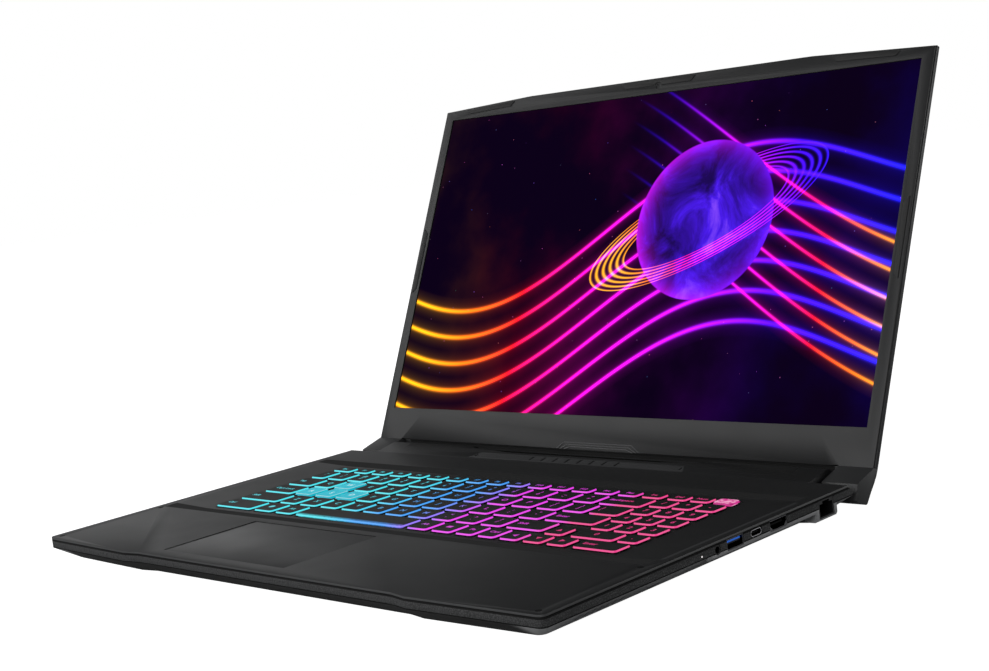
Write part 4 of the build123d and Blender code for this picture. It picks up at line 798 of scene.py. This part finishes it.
skirt_light = lit("skirt_light", 1.0)
legend_light = lit("legend_light", 0.7)
gaming_edge = lit("gaming_edge", 0.78, toward_white=0.5)
gaming_legend = lit("gaming_legend", 0.9, toward_white=0.6)
gaming_cap = mottled("gaming_cap", (0.003, 0.4, 0.52), (0.006, 0.5, 0.6), 420, 0.35, 0.65)
power_top = mottled("power_top", (0.6, 0.02, 0.24), (0.86, 0.36, 0.56), 420, 0.4, 0.6)
power_skirt = mottled("power_skirt", (0.45, 0.0, 0.17), (0.62, 0.003, 0.26), 300, 0.4, 0.6)

# %% Top of the space bar
# The space bar's front edge leaks light on to its top.
LEAK_END = 4.2 * MM
LEAK_START = 0.8 * MM
LEAK_GRAIN = 700
space_top = key_black.copy()
space_top.name = "space_top"
tree = space_top.node_tree
shader = tree.nodes["Principled BSDF"]
from_front = maths(tree, "SUBTRACT", axes_of(tree, object_place(tree))["Y"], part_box("key_space")[0][1])
leak = product(tree, smooth_step(tree, from_front, LEAK_END, LEAK_START),
               noise(tree, object_place(tree), Scale=LEAK_GRAIN))
tree.links.new(scaled(tree, zone_color(tree), leak), shader.inputs["Emission Color"])
shader.inputs["Emission Strength"].default_value = 1.0

# %% [markdown]
# The places of the keys are read from the CAD solids: each loose island of a key node is one cap.


# %% Where the keys are
def key_boxes(node):
    """Low and high corners of each cap in a node, row by row from the rear, left to right."""
    shape = bmesh.new()
    shape.from_mesh(nodes[node].data)
    bmesh.ops.remove_doubles(shape, verts=shape.verts, dist=WELD)
    waiting = set(shape.verts)
    boxes = []
    while waiting:
        front = [waiting.pop()]
        island = list(front)
        while front:
            for edge in front.pop().link_edges:
                for vert in edge.verts:
                    if vert in waiting:
                        waiting.remove(vert)
                        front.append(vert)
                        island.append(vert)
        low = Vector([min(v.co[i] for v in island) for i in range(3)])
        high = Vector([max(v.co[i] for v in island) for i in range(3)])
        boxes.append((low, high))
    shape.free()
    return sorted(boxes, key=lambda box: (round(-box[0].y, 3), box[0].x))


# %% Key caps
CAP_CORNER = 0.0021
CAP_CORNER_LEAST = 0.0004
CORNER_SHARE = 0.3  # how much tighter a corner gets where its ring is drawn in
CAP_STEPS = 5
CAP_SHORT = 0.0009  # a cap stops this far short of its foot's right side
# A cap's outline, from its hollow underside round its foot to the middle of its top:
# how far it is drawn in, the height below the top, and the finish.
# Finish 0 is the painted top and the dark foot, 1 the lit skirt and 2 the rounded edge.
CAP_RINGS = [
    (0.0017, 0.00112, 0), (0.0011, 0.00185, 0), (0.0006, 0.00112, 0), (0.0, 0.00104, 1),
    (0.00032, 0.00016, 2), (0.00048, 0.00005, 2), (0.00075, 0.0, 0), (0.0021, 0.00014, 0),
]


def rounded_ring(shape, middle, width, depth, corner, z):
    """Vertices of a level rectangle with round corners, counter-clockwise."""
    ring = []
    for turn, (side_x, side_y) in enumerate(((1, -1), (1, 1), (-1, 1), (-1, -1))):
        centre_x = middle.x + side_x * (width / 2 - corner)
        centre_y = middle.y + side_y * (depth / 2 - corner)
        for step in range(CAP_STEPS + 1):
            angle = (turn - 1 + step / CAP_STEPS) * pi / 2
            ring.append(shape.verts.new((centre_x + corner * cos(angle), centre_y + corner * sin(angle), z)))
    return ring


def add_cap(shape, low, high):
    """A cap with a hollow underside, a clear skirt, a rounded edge and a dished top."""
    high = high - Vector((CAP_SHORT, 0, 0))
    middle = (low + high) / 2
    rings = []
    for drawn_in, drop, finish in CAP_RINGS:
        width = high.x - low.x - 2 * drawn_in
        depth = high.y - low.y - 2 * drawn_in
        corner = max(CAP_CORNER - CORNER_SHARE * drawn_in, CAP_CORNER_LEAST)
        rings.append(rounded_ring(shape, middle, width, depth, corner, high.z - drop))
    for (drawn_in, drop, finish), lower, upper in zip(CAP_RINGS, rings, rings[1:]):
        for i in range(len(lower)):
            j = (i + 1) % len(lower)
            face = shape.faces.new((lower[i], lower[j], upper[j], upper[i]))
            face.material_index = finish
            face.smooth = finish != 1
    shape.faces.new(rings[-1]).smooth = True
    shape.faces.new(reversed(rings[0]))


def key_piece(name, node, finishes):
    """All caps of one node as one piece."""
    shape = bmesh.new()
    for low, high in key_boxes(node):
        add_cap(shape, low, high)
    piece = new_piece(name, shape, finishes)
    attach(piece, nodes[node]["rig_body"])
    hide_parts(node)
    return piece


LEGENDS = {
    "key_power": [""],
    "keys_function": ["Esc", "F1", "F2", "F3", "F4", "F5", "F6", "F7", "F8", "F9", "F10", "F11", "F12",
                      "Prt", "Pau", "Ins", "Del", "Num"],
    "keys_number": ["~ `", "! 1", "@ 2", "# 3", "$ 4", "% 5", "^ 6", "& 7", "* 8", "( 9", ") 0",
                    "_ -", "+ ="],
    "key_backspace": ["Backspace"],
    "keys_upper_row": ["Tab", *"QERTYUIOP", "{ [", "} ]", "| \\"],
    "keys_home_row": ["Caps Lock", *"FGHJKL", ": ;", "\" '"],
    "key_enter": ["Enter"],
    "keys_lower_row": [*"ZXCVBNM", "< ,", "> .", "? /"],
    "keys_shift": ["Shift", "Shift"],
    "keys_modifiers": ["Ctrl", "disc", "Alt", "Alt", "bars", "Fn", "Ctrl"],
    "key_space": [""],
    "keys_wasd": [*"WASD"],
    "keys_arrows": ["up", "left", "down", "right"],
    "keys_number_pad": ["/", "*", "-", "7", "8", "9", "4", "5", "6", "1", "2", "3", "0", "."],
    "key_pad_enter": ["Enter"],
}
SIGNS = {
    "up": [(-0.9, -0.6), (0.9, -0.6), (0, 0.9)], "down": [(0, -0.9), (0.9, 0.6), (-0.9, 0.6)],
    "left": [(-0.9, 0), (0.7, -0.9), (0.7, 0.9)], "right": [(0.9, 0), (-0.7, 0.9), (-0.7, -0.9)],
    "disc": [(cos(i * pi / 8), sin(i * pi / 8)) for i in range(16)],
    "bars": [(-0.9, -0.7), (0.9, -0.7), (0.9, 0.7), (-0.9, 0.7)],
}
INK = 0.00004  # thickness of a legend
BOLDER = 0.00006  # how much a letter's outline is grown
SIGN_SIZE = 0.0021
LETTER = 0.0052
WORD = 0.0040
PAIR = 0.0038
PAIR_STEP = 1.05  # the two lines of a pair are this many letter sizes apart
WORD_MARGIN = 0.0024
LEGEND_ACROSS = 0.44  # where a legend's middle lies across its key
LEGEND_BACK = 0.0004
LEGEND_LIFT = 0.00003
TALLEST = 0.4  # the largest letter as a share of the key's depth
WIDE_KEY = 0.02


def text_mesh(words, size, place, align):
    """Words as a thin flat solid that faces up, centred on a place or starting there."""
    curve = bpy.data.curves.new("legend", "FONT")
    curve.body = words
    curve.size = size
    curve.align_x = align
    curve.align_y = "CENTER"
    curve.extrude = INK / 2
    curve.offset = BOLDER
    curve.resolution_u = 3
    holder = bpy.data.objects.new("legend", curve)
    scene.collection.objects.link(holder)
    bpy.context.view_layer.update()
    mesh = bpy.data.meshes.new_from_object(holder.evaluated_get(bpy.context.evaluated_depsgraph_get()))
    bpy.data.objects.remove(holder)
    mesh.transform(Matrix.Translation(place))
    return mesh


def add_sign(shape, sign, place):
    """An arrow head, disc or bar as a thin flat solid."""
    face = shape.faces.new([
        shape.verts.new((place.x + x * SIGN_SIZE, place.y + y * SIGN_SIZE, place.z)) for x, y in SIGNS[sign]
    ])
    lifted = bmesh.ops.extrude_face_region(shape, geom=[face])["geom"]
    bmesh.ops.translate(
        shape, vec=(0, 0, INK / 2), verts=[v for v in lifted if isinstance(v, bmesh.types.BMVert)],
    )


def add_words(shape, words, low, high):
    """One key's legend: a sign, a letter, a word that starts at the left, or one glyph above another."""
    wide = high.x - low.x
    middle = (low + high) / 2
    top = high.z - CAP_RINGS[-1][1]
    centre = Vector((low.x + LEGEND_ACROSS * wide, middle.y + LEGEND_BACK, top + LEGEND_LIFT))
    if words in SIGNS:
        add_sign(shape, words, centre)
        return
    pair = len(words) == 3 and words[1] == " "
    size = PAIR if pair else LETTER if len(words) == 1 else WORD
    size = min(size, (high.y - low.y) * TALLEST)
    align = "CENTER"
    if wide > WIDE_KEY and len(words) > 2:
        align = "LEFT"
        centre.x = low.x + WORD_MARGIN
    for i, line in enumerate(words.split(" ") if pair else [words]):
        drop = (i - 0.5) * size * PAIR_STEP if pair else 0
        mesh = text_mesh(line, size, centre - Vector((0, drop, 0)), align)
        shape.from_mesh(mesh)
        bpy.data.meshes.remove(mesh)


def legend_piece(name, node, finish):
    """The legends of one node, a hair above the caps."""
    shape = bmesh.new()
    for words, (low, high) in zip(LEGENDS[node], key_boxes(node)):
        if words:
            add_words(shape, words, low, high)
    piece = new_piece(name, shape, [finish])
    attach(piece, nodes[node]["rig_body"])
    return piece


CAP_FINISH = {
    "keys_wasd": [gaming_cap, gaming_cap, gaming_edge], "key_power": [power_top, power_skirt, power_top],
    "key_space": [space_top, skirt_light, space_top],
}
for node in LEGENDS:
    key_piece(node + "_caps", node, CAP_FINISH.get(node, [key_black, skirt_light, key_black]))
    if any(LEGENDS[node]):
        legend_piece(node + "_legends", node, gaming_legend if node == "keys_wasd" else legend_light)
print("key groups", len(LEGENDS))

# %% [markdown]
# ## Screen
# The picture is drawn by the panel's own finish, so it stays on the glass at any angle of the lid.
# It is made of plain motifs: two families of neon waves that cross, stars, and a lit planet with rings.
# Places on it are counted in half widths of the screen, from its middle.

# %% Screen picture
SCREEN_FOOT = 31.6 * MM
SCREEN_W = 381.9 * MM
SCREEN_H = 214.8 * MM
picture, tree, shader = new_finish("screen_picture")
shader.inputs["Base Color"].default_value = (0.0005, 0.0005, 0.0008, 1)
shader.inputs["Roughness"].default_value = 0.42
shader.inputs["Specular IOR Level"].default_value = 0.0
shader.inputs["Emission Strength"].default_value = 1.0
on_lid = object_place(tree, turn=-LEAN, centre=lid_place(0, SCREEN_FOOT + SCREEN_H / 2))
across = axes_of(tree, on_lid)
u = maths(tree, "DIVIDE", across["X"], SCREEN_W / 2)
v = maths(tree, "DIVIDE", across["Z"], SCREEN_W / 2)

# %% Neon waves
# Each family: tilt, swing, beats, start, first and last line, gap between lines, and thinness.
LONG_WAVES = (0.18, 0.17, 3.1, 0.4, -5.5, 1.5, 0.098, 210.0)
CROSS_WAVES = (-0.42, 0.1, 2.6, 2.2, 0.5, 6.5, 0.085, 300.0)
WAVE_EDGE = 0.05
MANY = 40.0  # lines below the first, so that the count stays above zero
GLOW_FADE = -7.0
CORE_LIGHT = 2.0
GLOW_LIGHT = 0.2
CROSS_LIGHT = 0.8
CROSS_START = -0.1  # the second family comes in to the right of this
CROSS_FULL = 0.5
NEON = [
    (0.0, (1.0, 0.4, 0.005)), (0.12, (1.0, 0.16, 0.004)), (0.24, (1.0, 0.008, 0.015)),
    (0.42, (0.95, 0.006, 0.6)), (0.62, (0.5, 0.006, 1.0)), (0.8, (0.06, 0.004, 1.0)),
    (1.0, (0.012, 0.012, 1.0)),
]


def neon_run(tree, along, pace, start):
    """The light's colour along a line, from amber through magenta to blue."""
    return color_run(tree, maths(tree, "MULTIPLY_ADD", along, pace, start), NEON)


def wave_lines(tree, u, v, tilt, swing, beats, start, first, last, gap, thin):
    """Parallel neon waves: a mask of thin cores and a mask of wide glow."""
    bend = maths(tree, "MULTIPLY", maths(tree, "SINE", maths(tree, "MULTIPLY_ADD", u, beats, start)), swing)
    height = maths(tree, "SUBTRACT", maths(tree, "SUBTRACT", v, maths(tree, "MULTIPLY", u, tilt)), bend)
    rank = maths(tree, "DIVIDE", height, gap)
    apart = maths(tree, "PINGPONG", maths(tree, "ADD", rank, MANY), 0.5)
    core = maths(tree, "EXPONENT", maths(tree, "MULTIPLY", maths(tree, "POWER", apart, 2.0), -thin))
    glow = maths(tree, "EXPONENT", maths(tree, "MULTIPLY", apart, GLOW_FADE))
    inside = between(tree, rank, first, last, WAVE_EDGE)
    return product(tree, core, inside), product(tree, glow, inside)


def neon_light(tree, color, core, glow):
    """A bright core, and a glow round it that fades."""
    return summed(tree, scaled(tree, color, product(tree, core, CORE_LIGHT)),
                  scaled(tree, color, product(tree, glow, GLOW_LIGHT)))


run = neon_run(tree, u, 0.52, 0.48)
back_run = neon_run(tree, u, -0.8, 0.85)
fade_in = smooth_step(tree, u, CROSS_START, CROSS_FULL)
long_light = neon_light(tree, run, *wave_lines(tree, u, v, *LONG_WAVES))
cross_masks = [product(tree, mask, fade_in) for mask in wave_lines(tree, u, v, *CROSS_WAVES)]
cross_light = neon_light(tree, back_run, *cross_masks)
waves = summed(tree, long_light, scaled(tree, cross_light, CROSS_LIGHT))

# %% Sky
STAR_SCALE = 130
STAR_RADIUS = 0.045
STAR_LIGHT = 0.4
DRIFT_FROM = 0.42
DRIFT_FULL = 0.78
DRIFT_LIGHT = 0.05
stars = new_node(tree, "ShaderNodeTexVoronoi", {"Vector": on_lid, "Scale": STAR_SCALE}, feature="F1")
star = maths(tree, "LESS_THAN", stars.outputs["Distance"], STAR_RADIUS)
star_light = scaled(tree, stars.outputs["Color"], product(tree, star, STAR_LIGHT))
drift = smooth_step(tree, noise(tree, on_lid, Scale=9, Detail=5), DRIFT_FROM, DRIFT_FULL, DRIFT_LIGHT)
sky = summed(tree, star_light, scaled(tree, run, drift))

# %% Planet
PLANET_U = 0.28
PLANET_V = 0.1
PLANET_R = 0.27
PLANET_EDGE = 0.003
RIM_POWER = 9.0
RIM_LIGHT = 0.7
HAZE = (0.0035, 0.0003, 0.009, 1)
LAND = [
    (0.0, (0.004, 0.002, 0.03)), (0.38, (0.012, 0.003, 0.09)), (0.5, (0.035, 0.006, 0.38)),
    (0.6, (0.07, 0.012, 0.85)), (0.72, (0.25, 0.07, 1.0)), (1.0, (0.7, 0.5, 1.0)),
]
offset_u = maths(tree, "SUBTRACT", u, PLANET_U)
offset_v = maths(tree, "SUBTRACT", v, PLANET_V)
reach = span_of(tree, offset_u, offset_v)
disc = smooth_step(tree, reach, PLANET_R + PLANET_EDGE, PLANET_R - PLANET_EDGE)
clouds = noise(tree, on_lid, Scale=26, Detail=8, Roughness=0.62, Distortion=0.8)
rim = maths(tree, "POWER", maths(tree, "DIVIDE", reach, PLANET_R), RIM_POWER)
rim_light = scaled(tree, run, product(tree, rim, RIM_LIGHT))
planet = summed(tree, color_run(tree, clouds, LAND), rim_light)
haze = tree.nodes.new("ShaderNodeRGB")
haze.outputs[0].default_value = HAZE
view = mixed(tree, disc, summed(tree, haze.outputs[0], summed(tree, sky, waves)), planet)

# %% Rings round the planet
RING_TILT = radians(24)
RING_FLAT = 3.4  # how much the rings are foreshortened
RING_INNER = 1.22  # in radii of the planet
RING_OUTER = 1.78
RING_EDGE = 0.01
THREADS = 9.0  # per radius of the planet
THREAD_FADE = -30.0
RING_LIGHT = 1.6


def turned(tree, first, second):
    """One axis of a flat vector that is turned by the rings' tilt."""
    return maths(tree, "ADD", product(tree, first, cos(RING_TILT)), product(tree, second, sin(RING_TILT)))


ring_u = turned(tree, offset_u, offset_v)
ring_v = turned(tree, offset_v, product(tree, offset_u, -1.0))
ring_r = maths(tree, "DIVIDE", span_of(tree, ring_u, product(tree, ring_v, RING_FLAT)), PLANET_R)
thread = maths(tree, "PINGPONG", product(tree, ring_r, THREADS), 0.5)
thread = maths(tree, "EXPONENT", product(tree, maths(tree, "POWER", thread, 2.0), THREAD_FADE))
in_front = maths(tree, "LESS_THAN", ring_v, 0.0)
uncovered = largest(tree, in_front, maths(tree, "SUBTRACT", 1.0, disc))
shown = product(tree, between(tree, ring_r, RING_INNER, RING_OUTER, RING_EDGE), thread, uncovered)
ring_light = scaled(tree, neon_run(tree, ring_u, 1.1, 0.38), product(tree, shown, RING_LIGHT))
tree.links.new(summed(tree, view, ring_light), shader.inputs["Emission Color"])
nodes["display_panel"].data.materials.clear()
nodes["display_panel"].data.materials.append(picture)

# %% [markdown]
# The picture and the keys' light are shown at full strength, as a camera that is set for them sees
# them. At that strength they would tint the dark plastic round them, which the real ones hardly do,
# so they light nothing else.

# %% Light that stays where it is
for lamp_like in [nodes["display_panel"], *[bpy.data.objects[node + "_caps"] for node in LEGENDS]]:
    lamp_like.visible_diffuse = False
    lamp_like.visible_glossy = False
